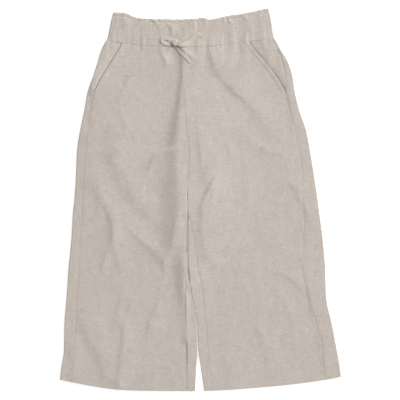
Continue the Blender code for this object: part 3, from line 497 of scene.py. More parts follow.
knot_low, knot_high = (np.array(corner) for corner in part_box("tie_knot"))
SHIFT = np.append(np.array(KNOT_CENTRE) - (knot_low + knot_high)[:2] / 2 / MM, 0.0)


def placed(points):
    """Points of the tables, in mm, as points of the frame, in metres."""
    return (np.asarray(points, float) - SHIFT) * MM


# ---- Camera, light and floor ----

def fill(tree, node, values):
    """Sets the inputs of a shader node, or links them to other nodes' outputs."""
    for name, value in values.items():
        if isinstance(value, bpy.types.NodeSocket):
            tree.links.new(value, node.inputs[name])
        else:
            node.inputs[name].default_value = value
    return node


def add_object(name, data):
    """A new object in the scene."""
    item = bpy.data.objects.new(name, data)
    bpy.context.scene.collection.objects.link(item)
    return item


def make_camera():
    """A camera straight over the trousers, framed as in the photograph."""
    data = bpy.data.cameras.new("camera")
    data.lens = LENS
    data.sensor_width = SENSOR
    camera = add_object("camera", data)
    x, y = placed((*FRAME_CENTRE, 0.0))[:2]
    distance = FRAME_PIXELS * PIXEL * LENS / SENSOR
    camera.location = (x, y, (distance + PANEL_HEIGHT) * MM)
    bpy.context.scene.camera = camera


def make_light():
    """An even pale sky and one soft light from the upper right."""
    world = bpy.data.worlds.new("studio")
    world.use_nodes = True
    background = world.node_tree.nodes["Background"]
    fill(world.node_tree, background, {"Color": (1.0, 1.0, 1.0, 1.0), "Strength": SKY})
    bpy.context.scene.world = world
    data = bpy.data.lights.new("key", "AREA")
    data.shape = "DISK"
    data.size = KEY_SIZE
    data.energy = KEY_POWER
    key = add_object("key", data)
    key.location = KEY_FROM
    key.visible_camera = False
    x, y, z = KEY_FROM
    key.rotation_euler = (math.atan2(math.hypot(x, y), z), 0.0, math.atan2(y, x) + math.pi / 2)
    view = bpy.context.scene.view_settings
    view.view_transform = "Standard"
    view.look = "None"


def make_floor():
    """A plain white floor under everything."""
    bpy.ops.mesh.primitive_plane_add(size=FLOOR_SIZE, location=(0.0, 0.0, -FLOOR_DROP))
    floor = bpy.context.object
    floor.name = "floor"
    material = bpy.data.materials.new("floor_white")
    material.use_nodes = True
    fill(material.node_tree, material.node_tree.nodes["Principled BSDF"], {
        "Base Color": (*WHITE, 1.0), "Roughness": 1.0, "Specular IOR Level": 0.0,
        "Emission Color": (1.0, 1.0, 1.0, 1.0), "Emission Strength": FLOOR_GLOW,
    })
    floor.data.materials.append(material)


# ---- Curves and noise ----

def smooth(share):
    """An eased share, 0 at 0 and below, 1 at 1 and above."""
    share = np.clip(share, 0.0, 1.0)
    return share * share * (3.0 - 2.0 * share)


def peak(away, reach):
    """1 at no distance away, falling off softly within a reach."""
    return np.exp(-((away / reach) ** 2))


def curve_through(points):
    """A smooth curve through (x, y) points that never overshoots them."""
    xs, ys = np.array(sorted(points), float).T
    steps = np.diff(xs)
    slopes = np.diff(ys) / steps
    tangents = np.zeros(len(xs))
    tangents[0], tangents[-1] = slopes[0], slopes[-1]
    for i, (before, after) in enumerate(zip(slopes, slopes[1:]), 1):
        if before * after > 0.0:
            tangents[i] = 2.0 * before * after / (before + after)

    def value(x):
        x = np.clip(x, xs[0], xs[-1])
        i = np.clip(np.searchsorted(xs, x) - 1, 0, len(steps) - 1)
        t = (x - xs[i]) / steps[i]
        start = ys[i] * (1 + 2 * t) + tangents[i] * steps[i] * t
        end = ys[i + 1] * (3 - 2 * t) + tangents[i + 1] * steps[i] * (t - 1)
        return start * (1 - t) ** 2 + end * t * t

    return value


def columns_of(names, rows):
    """A curve down the garment for each named column of a table, whose first one is y."""
    return {
        name: curve_through([(row[0], row[index]) for row in rows])
        for index, name in enumerate(names[1:], 1)
    }


def noise(x, y, size_x, size_y, seed):
    """Smooth random swells between -1 and 1, of about the given sizes."""
    table = np.random.RandomState(seed).uniform(-1.0, 1.0, (NOISE_CELLS, NOISE_CELLS))
    u, v = x / size_x + NOISE_SHIFT, y / size_y + NOISE_SHIFT
    i, j = np.floor(u).astype(int), np.floor(v).astype(int)
    s, t = smooth(u - i), smooth(v - j)
    i, j = i % NOISE_CELLS, j % NOISE_CELLS
    k, m = (i + 1) % NOISE_CELLS, (j + 1) % NOISE_CELLS
    near = table[i, j] * (1 - s) + table[k, j] * s
    far = table[i, m] * (1 - s) + table[k, m] * s
    return near * (1 - t) + far * t


SECTION = columns_of(SECTION_COLUMNS, SECTIONS)
POCKET = columns_of(BOTH_SIDES, POCKET_MOUTHS)
BAND_EDGE = columns_of(BOTH_SIDES, BAND_EDGES)
waist_seam = curve_through(WAIST_SEAM)
waist_top = curve_through(WAIST_TOP)
HEM = {RIGHT: curve_through(RIGHT_HEM), LEFT: curve_through(LEFT_HEM)}
TOP_ROW = {RIGHT: WAIST_SEAM[0][1], LEFT: WAIST_SEAM[-1][1]}
BOTTOM_ROW = {RIGHT: RIGHT_HEM[0][1], LEFT: LEFT_HEM[-1][1]}


def section(line, side):
    """x of a line of a leg at a height: its outer fold (edge), side seam, inner or fold."""
    return SECTION[line + "_" + SIDE_NAMES[side]]


def even_folds(table):
    """Folds that keep their widths from end to end, with both widths at every point."""
    return [
        [(x, y, right, left, height) for x, y, height in points]
        for right, left, *points in table
    ]


band_folds = even_folds(BAND_GATHERS)
band_creases = [BAND_WAVE, *even_folds(BAND_CREASES)]


# ---- The form of the top layer ----

def relief(x, y, folds, crisp=False):
    """How far all folds together lift or sink the cloth at some places."""
    x, y = np.broadcast_arrays(x, y)
    total = np.zeros(x.shape)
    for rows in folds:
        rows = np.array(rows, float)
        reach = FOLD_END * rows[:, 2:4].max()
        low, high = rows[:, :2].min(axis=0) - reach, rows[:, :2].max(axis=0) + reach
        near = (x > low[0]) & (x < high[0]) & (y > low[1]) & (y < high[1])
        if not near.any():
            continue
        px, py = x[near], y[near]
        nearest = np.full(px.shape, 1e9)
        side = np.zeros(px.shape)
        form = np.zeros((3,) + px.shape)
        for a, b in zip(rows, rows[1:]):
            run = b[:2] - a[:2]
            t = np.clip(((px - a[0]) * run[0] + (py - a[1]) * run[1]) / (run @ run), 0.0, 1.0)
            away_x, away_y = px - a[0] - t * run[0], py - a[1] - t * run[1]
            distance = np.hypot(away_x, away_y)
            closer = distance < nearest
            nearest = np.where(closer, distance, nearest)
            side = np.where(closer, run[0] * away_y - run[1] * away_x, side)
            here = a[2:, None] + smooth(t) * (b - a)[2:, None]
            form = np.where(closer, here, form)
        width = np.where(side < 0, form[0], form[1])
        swell = peak(nearest, width)
        if crisp:
            step = np.exp(-(np.hypot(nearest, CREASE_EDGE) - CREASE_EDGE) / width)
            swell = np.where(side < 0, step, swell)
        total[near] += form[2] * swell
    return total


def at_least(value, lowest):
    """Values held softly above a lowest one."""
    over = value - lowest
    return lowest + 0.5 * (over + np.sqrt(over * over + SOFTNESS))


def swells(x, y, table):
    """Uneven swells, from rows of height, lean along x and along y, sizes and seed."""
    return sum(
        height * noise(x + lean_x * y, y + lean_y * x, *sizes_and_seed)
        for height, lean_x, lean_y, *sizes_and_seed in table
    )


def rumple(x, y):
    """The soft unevenness of washed linen, with thin lines drawn into it."""
    lines = 0.0
    for depth, thin, lean_x, lean_y, *sizes_and_seed in RUMPLE_LINES:
        line = 1.0 - np.abs(noise(x + lean_x * y, y + lean_y * x, *sizes_and_seed)) / thin
        lines = lines - depth * np.clip(line, 0.0, 1.0)
    mean, swing, *sizes_and_seed = RUMPLE_SHARE
    return swells(x, y, RUMPLES) + lines * (mean + swing * noise(x, y, *sizes_and_seed))


def hem_line(x, y, side_hem):
    """The hem's turned-up depth: a slightly higher band with a drawn-in stitch line."""
    above = y - side_hem(x)
    past = above - HEM_DEPTH
    thicker = HEM_STEP * (1.0 - smooth((past + 1.0) / 4.0))
    groove = -HEM_STEP * peak(past, 1.6)
    puckers = swells(x, y, HEM_PUCKERS) * peak(past, HEM_PUCKER_REACH)
    return np.where(above < 4 * HEM_DEPTH, thicker + groove + puckers, 0.0)


def crotch_opening(y):
    """How far each leg draws back where the two legs part, in the upper half of its fold."""
    place, reach, width = CROTCH_OPENING
    return width * np.exp(-(((y - place) / reach) ** 4))


def waist_gathers(x, y):
    """The gathers that run down from the waistband's seam."""
    below = np.maximum(waist_seam(x) - y, 0.0)
    return sum(
        height * noise(x + lean * below, y, *sizes_and_seed) * np.exp(-below / reach)
        for height, lean, reach, *sizes_and_seed in WAIST_GATHERS
    )


def panel_top(x, y, hem):
    """Height of the top of the upper layer of cloth over the surface."""
    below = waist_seam(x) - y
    waist = peak(below, WAIST_RISE_REACH)
    held = 1.0 - WAIST_HOLD[0] * peak(below, WAIST_HOLD[1])
    over_pocket = smooth((y - POCKET_RISE[0]) / POCKET_RISE[1])
    lowest = LOWEST_PANEL + (LOWEST_OVER_POCKET - LOWEST_PANEL) * over_pocket
    form = PANEL_HEIGHT + WAIST_RISE * waist + held * relief(x, y, PANEL_FOLDS.values())
    form = form + relief(x, y, PANEL_CREASES.values(), crisp=True)
    form = form + rumple(x, y) + waist_gathers(x, y) + hem_line(x, y, hem)
    return at_least(form, lowest)


def heading_line(x):
    """y of the stitch line under the waistband's frilled heading."""
    low = waist_seam(x)
    return low + HEADING_LEVEL * (waist_top(x) - low)


def band_top(x, y):
    """Height of the top of the front of the waistband over the surface."""
    above = y - heading_line(x)
    over_seam = y - waist_seam(x)
    some = 0.5 + 0.5 * noise(x, y, *HEADING_SHARE)
    drawn_in = np.clip(noise(x, 0 * y, *DRAWN_IN_SHARE), 0.0, 1.0)
    groove = -HEADING_DIP * some * peak(above, 1.2)
    groove = groove - LOW_STITCH_DIP * some * peak(over_seam - LOW_STITCHES, 1.2)
    groove = groove - DRAWN_IN_DIP * drawn_in * peak(over_seam, 1.3)
    frill = swells(x, y, FRILL) * smooth(above / HEADING_EASE)
    tucks = swells(x, y, BAND_TUCKS) * (0.65 + 0.5 * noise(x, y, *TUCK_SHARE))
    puckers = swells(x, y, BAND_PUCKERS) * np.clip(0.3 + noise(x, y, *PUCKER_SHARE), 0.0, 1.0)
    tucks = tucks + puckers * (peak(over_seam, 10.0) + peak(above, 9.0))
    form = BAND_HEIGHT + relief(x, y, band_folds) + relief(x, y, band_creases, crisp=True)
    form = form + tucks * (1 - 0.5 * smooth(above / HEADING_EASE))
    at_seam = panel_top(x, waist_seam(x), HEM[RIGHT]) - form
    form = form + at_seam * peak(np.maximum(over_seam, 0.0), SEAM_BLEND)
    return at_least(form + groove + frill, LOWEST_BAND)


# ---- Places on the legs ----

def row_level(side, row, x):
    """y of a row of points at x: level in the leg, curved near the waist and the hem."""
    top, bottom = TOP_ROW[side], BOTTOM_ROW[side]
    at_waist = 1.0 - smooth((top - row) / WAIST_BLEND)
    at_hem = 1.0 - smooth((row - bottom) / HEM_BLEND)
    rise = waist_seam(x) - SEAM_LINE / 2 - top
    drop = HEM[side](x) - bottom
    return row + at_waist * rise + at_hem * drop


def on_row(side, row, place):
    """Where rows meet a line of the leg, given as x at a height y."""
    x = place(row)
    for _ in range(3):
        x = place(row_level(side, row, x))
    return x, row_level(side, row, x)


def front_side_place(side):
    """x of the outer cut edge of a front panel: the pocket mouth, then the side seam."""
    seam = section("side", side)
    mouth = POCKET[SIDE_NAMES[side]]

    def place(y):
        out = side * seam(y)
        out = np.where(y > POCKET_END, np.minimum(out, side * mouth(y)), out)
        return side * (out - SEAM_LINE / 2)

    return place


def wrap_width(side, y):
    """How far the back panel reaches over the inner fold, seen from above."""
    full = side * (section("inner", side)(y) - section("fold", side)(y))
    return np.maximum(full, 0.0) * smooth((CROTCH - y) / INSEAM_EASE)


def inner_wrap_angle(side, y):
    """Angle by which the back panel turns up round the inner fold, half a turn at most."""
    rise = smooth((CROTCH + CROTCH_EASE - y) / CROTCH_EASE)
    above = FLAT_WRAP + (math.pi / 2 - FLAT_WRAP) * rise
    below = math.pi - np.arcsin(np.clip(1.0 - wrap_width(side, y) / FOLD_REACH, 0.0, 1.0))
    return np.where(y >= CROTCH, above, below)


def fold_place(side):
    """x of the inner fold of a leg, or of the centre back seam over the crotch."""
    fold = section("fold", side)
    return lambda y: fold(y) + side * LEG_GAP / 2


def front_inner_place(side):
    """x of the inner end of a front panel: centre front seam, inner fold, then inseam."""
    inner = section("inner", side)
    fold = fold_place(side)

    def place(y):
        near = smooth((CROTCH + INSEAM_EASE - y) / INSEAM_EASE)
        open_end = inner(y) + side * SEAM_LINE / 2
        above = open_end + near * (fold(y) - open_end)
        width = wrap_width(side, y)
        below = fold(y) + side * (width + np.where(width > FOLD_REACH, SEAM_LINE / 2, 0.0))
        return np.where(y >= CROTCH, above, below)

    return place


# ---- Walls of cloth ----

def graded(length, step):
    """Distances along a length, close together near both of its ends."""
    inner = np.linspace(EDGE_STEPS[-1], length - EDGE_STEPS[-1], max(int(length / step), 2))
    return np.concatenate((EDGE_STEPS[:-1], inner, length - EDGE_STEPS[-2::-1]))


def across(start, end, count):
    """Rows of x from start to end, close together near both ends."""
    width = np.abs(end - start)[:, None]
    way = np.sign(end - start)[:, None]
    steps = EDGE_STEPS * np.minimum(1.0, width / (4 * EDGE_STEPS[-1]))
    last = steps[:, -1:]
    inner = last + np.linspace(0.0, 1.0, count) * (width - 2 * last)
    distances = np.hstack((steps[:, :-1], inner, width - steps[:, -2::-1]))
    return start[:, None] + way * distances


def leg_rows(side):
    """Heights of the rows of points down a leg."""
    top, bottom = TOP_ROW[side], BOTTOM_ROW[side]
    return top - graded(top - bottom, GRID)


def seam_dip(beyond, x, y):
    """How far cloth dips at a seam, at distances past it towards the wearer's left.

    The seam's allowances lie on that side, so that the cloth there rises in a step.
    """
    deep = SEAM_DIP * (0.5 + 0.5 * noise(x, y, *SEAM_SHARE))
    return np.where(beyond > 0, deep, SEAM_DIP_BEFORE) * peak(beyond, SEAM_DIP_REACH)


def points_of(x, y, z):
    """Points of the given places."""
    return np.stack(np.broadcast_arrays(x, y, z), axis=-1)


def bulge(angles, roundness):
    """How far a fold stands out at some angles round it: 1 is round, less is squarer."""
    return np.sin(np.clip(angles, 0.0, math.pi)) ** roundness


def arc_points(centre_x, direction, height, wall, angles, level, roundness):
    """Points round a fold of the leg. Angle 0 is its foot and half a turn its top."""
    rise = np.sign(np.cos(angles)) * np.abs(np.cos(angles)) ** roundness
    x = centre_x + direction * (FOLD_REACH - wall) * bulge(angles, roundness)
    z = height / 2 - (height / 2 - wall) * rise
    return points_of(x, level(x), z)


def rounded_rim(rows, wall):
    """How far a skin comes in at the cut ends of a wall, to round them."""
    ends = np.minimum(np.abs(rows - rows[0]), np.abs(rows - rows[-1]))[:, None]
    return 0.18 * wall * peak(ends, 0.7)


def wall_object(name, outer, inner, material):
    """A closed wall between an outer and an inner skin, as an object that rides."""
    rows, columns = outer.shape[:2]
    points = np.concatenate((outer.reshape(-1, 3), inner.reshape(-1, 3)))
    grid = np.arange(rows * columns).reshape(rows, columns)
    under = grid + rows * columns

    def quads(a, b, c, d):
        return np.stack((a, b, c, d), axis=-1).reshape(-1, 4)

    faces = np.concatenate((
        quads(grid[:-1, :-1], grid[:-1, 1:], grid[1:, 1:], grid[1:, :-1]),
        quads(under[:-1, :-1], under[1:, :-1], under[1:, 1:], under[:-1, 1:]),
        quads(grid[:-1, 0], grid[1:, 0], under[1:, 0], under[:-1, 0]),
        quads(grid[1:, -1], grid[:-1, -1], under[:-1, -1], under[1:, -1]),
        quads(grid[0, 1:], grid[0, :-1], under[0, :-1], under[0, 1:]),
        quads(grid[-1, :-1], grid[-1, 1:], under[-1, 1:], under[-1, :-1]),
    ))
    return mesh_object(name, points, faces, material)


def mesh_object(name, points, faces, material):
    """A smooth object of points in mm and faces, with its faces pointing out, that rides."""
    points = placed(points.reshape(-1, 3))
    mesh = bpy.data.meshes.new(name)
    mesh.from_pydata(points.tolist(), [], faces.tolist())
    first = points[faces[:, 0]]
    cross = np.cross(points[faces[:, 1]] - first, points[faces[:, 2]] - first)
    cross += np.cross(points[faces[:, 2]] - first, points[faces[:, 3]] - first)
    if (first * cross).sum() < 0:
        mesh.flip_normals()
    mesh.shade_smooth()
    mesh.set_sharp_from_angle(angle=SHARP_ANGLE)
    mesh.materials.append(material)
    piece = add_object(name, mesh)
    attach(piece, "root")
    return piece


def pocket_edge(away):
    """The folded and stitched edge of a pocket's mouth: thick, with a drawn-in line."""
    thicker = 0.32 * (1 - smooth((away - 7.5) / 3.0)) - 0.15 * peak(away, 0.9)
    return thicker - 0.07 * peak(away - 8.0, 1.1)


def front_skins(side):
    """The outer and inner skins of a front panel."""
    rows = leg_rows(side)
    out_x, out_y = on_row(side, rows, front_side_place(side))
    end_x, end_y = on_row(side, rows, front_inner_place(side))
    wrap = np.where(end_y < CROTCH + CROTCH_EASE, inner_wrap_angle(side, end_y), 0.0)
    drop = np.where(end_y >= CROTCH, wrap, math.pi - wrap)
    drop = np.maximum(drop - SEAM_GAP / FOLD_REACH, FLAT_WRAP)
    turn_x = end_x + side * FOLD_REACH * bulge(drop, INNER_ROUND)
    x = across(out_x, turn_x, int(np.abs(turn_x - out_x).max() / GRID))
    level = row_level(side, rows[:, None], x)
    top = panel_top(x, level, HEM[side])
    in_mouth = (out_y > POCKET_END)[:, None]
    beyond = x - out_x[:, None]
    top = top + np.where(in_mouth, pocket_edge(np.abs(beyond)), -seam_dip(beyond, x, level))
    top = top - seam_dip(x - end_x[:, None], x, level) * (drop <= FLAT_WRAP)[:, None]
    angles = math.pi - drop[:, None] * np.linspace(0.0, 1.0, INNER_STEPS // 2 + 1)[1:]
    rim = rounded_rim(rows, CLOTH)
    skins = []
    for wall, inset in ((0.0, rim), (CLOTH, -rim)):
        flat = points_of(x, level, top - wall - inset)
        arc = arc_points(turn_x[:, None], -side, top[:, -1:], wall, angles,
                         lambda place: row_level(side, rows[:, None], place), INNER_ROUND)
        arc[..., 2] -= inset
        skins.append(np.concatenate((flat, arc), axis=1))
    return skins


def underside(x, y, side):
    """How far the lower layer stands off the surface, with the other leg's folds mirrored."""
    line = 0.3 * peak(y - HEM[side](x) - HEM_DEPTH, 1.4)
    mirrored = 2 * SECTION["inner_right"](y) - x
    main = np.maximum(relief(mirrored, y, PANEL_FOLDS.values()) - 0.6, 0.0)
    fine = 0.5 * np.maximum(relief(mirrored, y, PANEL_CREASES.values(), crisp=True), 0.0)
    small = 0.30 * np.clip(noise(x + 0.4 * y, y, *UNDERSIDE_SHARE) - 0.35, 0.0, 1.0)
    at_hip = smooth((y - POCKET_RISE[0]) / 30.0)
    most = UNDERSIDE_RISE - (UNDERSIDE_RISE - UNDERSIDE_HIP_RISE) * at_hip
    return line + small + most * (1.0 - np.exp(-(main + fine) / 2.0))


def back_skins(side):
    """The outer and inner skins of a back panel, with its strips over both folds."""
    rows = leg_rows(side)
    seam_x, _ = on_row(side, rows, section("side", side))
    seam_x = seam_x + side * SEAM_LINE / 2
    edge_x, _ = on_row(side, rows, section("edge", side))
    fold_x, fold_y = on_row(side, rows, fold_place(side))
    wrap = inner_wrap_angle(side, fold_y)
    outer_centre = edge_x - side * FOLD_REACH
    inner_centre = fold_x + side * FOLD_REACH * bulge(np.minimum(wrap, math.pi / 2), INNER_ROUND)
    opening = side * crotch_opening(fold_y)

    def level(place):
        return row_level(side, rows[:, None], place)

    def strip(start, end, dips_at_start):
        x = across(start, end, STRIP_COLUMNS)
        seam = start if dips_at_start else end
        top = panel_top(x, level(x), HEM[side]) - seam_dip(x - seam[:, None], x, level(x))
        return x, top

    on_top = wrap_width(side, fold_y) > FOLD_REACH
    end_x = fold_x + side * (wrap_width(side, fold_y) - SEAM_LINE / 2)
    outer_x, outer_top = strip(seam_x, outer_centre, True)
    inner_end = np.where(on_top, end_x, inner_centre + side)
    inner_x, inner_top = strip(inner_centre + opening, inner_end, False)
    foot = np.linspace(0.0, 1.0, UNDERSIDE_COLUMNS)[1:-1]
    bottom_x = outer_centre[:, None] + foot * (inner_centre - outer_centre)[:, None]
    turn = np.linspace(math.pi, 0.0, OUTER_STEPS)
    last_angle = np.where(wrap < math.pi, wrap - SEAM_GAP / FOLD_REACH, math.pi)
    columns = inner_x.shape[1] - 1
    arc_share = INNER_STEPS / (INNER_STEPS + columns)
    base = underside(bottom_x, level(bottom_x), side) * smooth(np.minimum(foot, 1 - foot) * 12)
    rim = rounded_rim(rows, CLOTH)
    skins = []
    for wall, inset in ((0.0, rim), (CLOTH, -rim)):
        outer_strip = points_of(outer_x, level(outer_x), outer_top - wall - inset)[:, :-1]
        outer_arc = arc_points(outer_centre[:, None], side, outer_top[:, -1:] - inset, wall,
                               turn, level, OUTER_ROUND)
        bottom_z = base * (1 - UNDERSIDE_THINNING * (wall > 0)) + wall + inset
        bottom = points_of(bottom_x, level(bottom_x), bottom_z)
        rising = np.linspace(0.0, 1.0, INNER_STEPS) * np.where(on_top, 1.0, arc_share)[:, None]
        angles = last_angle[:, None] * rising
        inner_arc = arc_points(inner_centre[:, None], -side, inner_top[:, :1] - inset, wall,
                               angles, level, INNER_ROUND)
        inner_arc[..., 0] += opening[:, None] * smooth((angles - math.pi / 2) / OPENING_TURN)
        flat = points_of(inner_x, level(inner_x), inner_top - wall - inset)[:, 1:]
        on_arc = arc_share + (1 - arc_share) * np.linspace(0.0, 1.0, columns + 1)[1:]
        round_x = arc_points(inner_centre[:, None], -side, inner_top[:, :1] - inset, wall,
                             last_angle[:, None] * on_arc, level, INNER_ROUND)
        inner_strip = np.where(on_top[:, None, None], flat, round_x)
        parts = (outer_strip, outer_arc, bottom, inner_arc, inner_strip)
        skins.append(np.concatenate(parts, axis=1))
    return skins


def facing_skins(side):
    """The outer and inner skins of a pocket facing, under the mouth of its pocket."""
    rows = leg_rows(side)
    _, mouth_y = on_row(side, rows, front_side_place(side))
    rows = rows[mouth_y > POCKET_END + 4.0]
    seam_x, _ = on_row(side, rows, section("side", side))
    seam_x = seam_x - side * SEAM_LINE / 2
    mouth_x, _ = on_row(side, rows, front_side_place(side))
    x_shown = across(seam_x, mouth_x + side * SEAM_GAP, 24)
    share = np.abs(x_shown - seam_x[:, None]) / np.abs(mouth_x - seam_x)[:, None]
    under = np.linspace(0.0, 12.0, 6)
    x_under = mouth_x[:, None] - side * under
    x = np.hstack((x_shown, x_under))
    level = row_level(side, rows[:, None], x)
    near = np.exp(-np.abs(x_shown - mouth_x[:, None]) / MOUTH_REACH)
    shown = 0.35 * share + 0.65 * near + 0.25 * near ** 3
    fallen = np.hstack((shown, np.full(x_under.shape, 1.25)))
    dip = fallen * (CLOTH + SEAM_GAP + 0.1)
    top = panel_top(x, level, HEM[side]) - dip - seam_dip(x - seam_x[:, None], x, level)
    return [points_of(x, level, top - wall) for wall in (0.0, CLOTH)]


# ---- The waistband ----

def band_level(x, share):
    """y at a share of the way up the waistband. Its upper edge is a little uneven."""
    low = waist_seam(x) + SEAM_LINE / 2
    high = waist_top(x) + 0.55 * noise(x, x, *TOP_EDGE_SHARE)
    return low + share * (high - low)


def band_edge_x(side, share):
    """x of the folded side of the waistband."""
    edge = BAND_EDGE[SIDE_NAMES[side]]
    x = edge(BAND_EDGES[0][0])
    for _ in range(3):
        x = edge(band_level(x, share))
    return x


def band_shares():
    """Levels of the rows of points up the waistband."""
    height = BAND_EDGES[-1][0] - BAND_EDGES[0][0]
    return graded(height, BAND_GRID) / height


def band_rim(shares):
    """How far the waistband's skins come in at its lower and upper ends."""
    height = BAND_EDGES[-1][0] - BAND_EDGES[0][0]
    low, high = (share * peak(away * height, reach)
                 for share, away, reach in ((0.06, shares, 0.8), (0.36, 1 - shares, 1.1)))
    return ((low + high) * BAND_CLOTH)[:, None]


def band_front_skins():
    """The outer and inner skins of the front of the waistband."""
    shares = band_shares()
    right = band_edge_x(RIGHT, shares) + BAND_INSET + SEAM_LINE / 2
    left = band_edge_x(LEFT, shares) - BAND_INSET - SEAM_LINE / 2
    x = across(right, left, int((left - right).max() / BAND_GRID))
    level = band_level(x, shares[:, None])
    top = band_top(x, level)
    for end in (right, left):
        top = top - seam_dip(x - end[:, None], x, level)
    rim = band_rim(shares)
    return [points_of(x, level, z) for z in (top - rim, top - BAND_CLOTH + rim)]


def band_back_skins():
    """The outer and inner skins of the back of the waistband and its folded sides."""
    shares = band_shares()
    reach = FOLD_REACH + 0.4
    turn = np.linspace(math.pi, 0.0, 12)
    rim = band_rim(shares)
    centres = {side: band_edge_x(side, shares) - side * reach for side in (RIGHT, LEFT)}
    foot = np.linspace(0.0, 1.0, 130)[1:-1]
    bottom_x = centres[RIGHT][:, None] + foot * (centres[LEFT] - centres[RIGHT])[:, None]
    tucks = 0.5 * np.clip(noise(bottom_x, bottom_x * 0.02, *BACK_TUCK_SHARE), 0.0, 1.0)
    tucks = tucks * smooth(np.minimum(foot, 1 - foot) * 20)
    skins = []
    for wall, inset in ((0.0, rim), (BAND_CLOTH, -rim)):
        parts = []
        for side, centre in centres.items():
            seam = band_edge_x(side, shares) - side * (BAND_INSET - SEAM_LINE / 2)
            x = across(seam, centre, 4)
            level = band_level(x, shares[:, None])
            top = band_top(x, level) - seam_dip(x - seam[:, None], x, level)
            flat = points_of(x, level, top - wall - inset)[:, :-1]
            arc_x = centre[:, None] + side * (reach - wall) * np.sin(turn)
            high = top[:, -1:]
            arc_z = high / 2 - (high / 2 - wall - inset) * np.cos(turn)
            arc = points_of(arc_x, band_level(arc_x, shares[:, None]), arc_z)
            parts.append(np.concatenate((flat, arc), axis=1))
        base = tucks * (1 - 0.6 * (wall > 0)) + wall + inset
        bottom = points_of(bottom_x, band_level(bottom_x, shares[:, None]), base)
        skins.append(np.concatenate((parts[0], bottom, parts[1][:, ::-1]), axis=1))
    return skins


# ---- The tie ----

def terrain(x, y):
    """Top of the trousers' front at some places, on the band or on a panel."""
    right, left = (panel_top(x, y, HEM[side]) for side in (RIGHT, LEFT))
    panel = np.where(x < SECTION["inner_right"](y), right, left)
    return np.where(y > waist_seam(x), band_top(x, y), panel)


TAPE_ACROSS = np.linspace(-TIE_WIDTH / 2, TIE_WIDTH / 2, 19)


def lengths_along(points):
    """How far along a line each of its points lies."""
    return np.concatenate(([0.0], np.cumsum(np.linalg.norm(np.diff(points, axis=0), axis=1))))


def smooth_route(points, steps):
    """Evenly spaced points on a smooth curve through the route's own points."""
    points = np.array(points, float)
    lengths = lengths_along(points)
    padded = np.vstack((2 * points[0] - points[1], points, 2 * points[-1] - points[-2]))
    places = np.linspace(0.0, lengths[-1], steps + 1)
    i = np.minimum(np.searchsorted(lengths, places, side="right") - 1, len(points) - 2)
    t = ((places - lengths[i]) / (lengths[i + 1] - lengths[i]))[:, None]
    a, b, c, d = (padded[i + k] for k in range(4))
    cubic = (2 * a - 5 * b + 4 * c - d) * t ** 2 + (3 * b - a - 3 * c + d) * t ** 3
    return 0.5 * (2 * b + (c - a) * t + cubic)


def directions(route):
    """Unit directions along a route."""
    along = np.gradient(route, axis=0)
    return along / np.linalg.norm(along, axis=1)[:, None]


def highest_round(place, reach):
    """Height of the top of the cloth round a place, within a square reach."""
    offsets = np.linspace(-reach, reach, 7)
    x, y = np.meshgrid(place[0] + offsets, place[1] + offsets)
    return float(terrain(x, y).max())


def eased(levels):
    """Levels along a tape, smoothed without falling far under any of them."""
    def spread(values):
        padded = np.pad(values, ((4, 4), (0, 0)), mode="edge")
        return np.mean([padded[i:i + len(values)] for i in range(9)], axis=0)

    for _ in range(2):
        levels = spread(np.maximum(levels, spread(levels)))
    return levels


def flat_across(route):
    """Level directions square to a route, seen from above."""
    along = directions(np.column_stack((route[:, :2], np.zeros(len(route)))))
    return np.stack((-along[:, 1], along[:, 0], np.zeros(len(route))), axis=1)


def draped(plan):
    """Heights of the middle of a tape that lies on the cloth, along it and across it."""
    wide = flat_across(plan)
    x = plan[:, 0, None] + wide[:, 0, None] * TAPE_ACROSS
    y = plan[:, 1, None] + wide[:, 1, None] * TAPE_ACROSS
    return wide, eased(terrain(x, y)) + TIE_CLEARANCE + TIE_CLOTH / 2


def taped(plan, wide, levels):
    """A tape's centre line, its widths and how far its cloth stands over that line."""
    middle = levels[:, levels.shape[1] // 2]
    return np.column_stack((plan, middle)), wide, levels - middle[:, None]


def ring_route():
    """The tape of the loop that lies open."""
    plan = smooth_route(RIGHT_LOOP, 72)
    wide, levels = draped(plan)
    return taped(plan, wide, levels + np.linspace(0.0, RING_CLIMB, len(plan))[:, None])


def closed_route():
    """The tape of the loop whose two strands lie on each other."""
    axis = smooth_route(LEFT_LOOP, 40)
    wide, levels = draped(axis)
    shares = np.linspace(0.0, 1.0, len(axis)) / LOOP_START_SHARE
    levels = levels + LOOP_START_LIFT * (1.0 - smooth(shares))[:, None]
    flat, wide, over = taped(axis, wide, levels)
    along = directions(flat)[-1]
    shift = wide * np.linspace(*LOOP_SHIFT, len(axis))[:, None] / 2
    lower = flat - shift
    upper = flat + shift + np.array((0, 0, 2 * LOOP_TURN))
    turned = []
    for angle in np.linspace(0.0, math.pi, 12)[1:-1]:
        middle = flat[-1] + along * LOOP_TURN * math.sin(angle)
        rise = np.array((0, 0, LOOP_TURN * (1 - math.cos(angle))))
        turned.append(middle - shift[-1] * math.cos(angle) + rise)
    route = np.vstack((lower, turned, upper[::-1]))
    wide = np.vstack((wide, [wide[-1]] * len(turned), wide[::-1]))
    return route, wide, np.vstack((over, [over[-1]] * len(turned), over[::-1]))


def tail_route(points, lies_over):
    """The tape of a free end, lying on the cloth and partly over the other one."""
    plan = smooth_route(points, 40)
    wide, levels = draped(plan)
    if lies_over:
        start, reach = TAIL_OVERLAP
        past = (np.linspace(0.0, 1.0, len(plan)) - start) / reach
        levels = levels + TAIL_OVERLAP_LIFT * (1.0 - smooth(past))[:, None]
    return taped(plan, wide, levels)


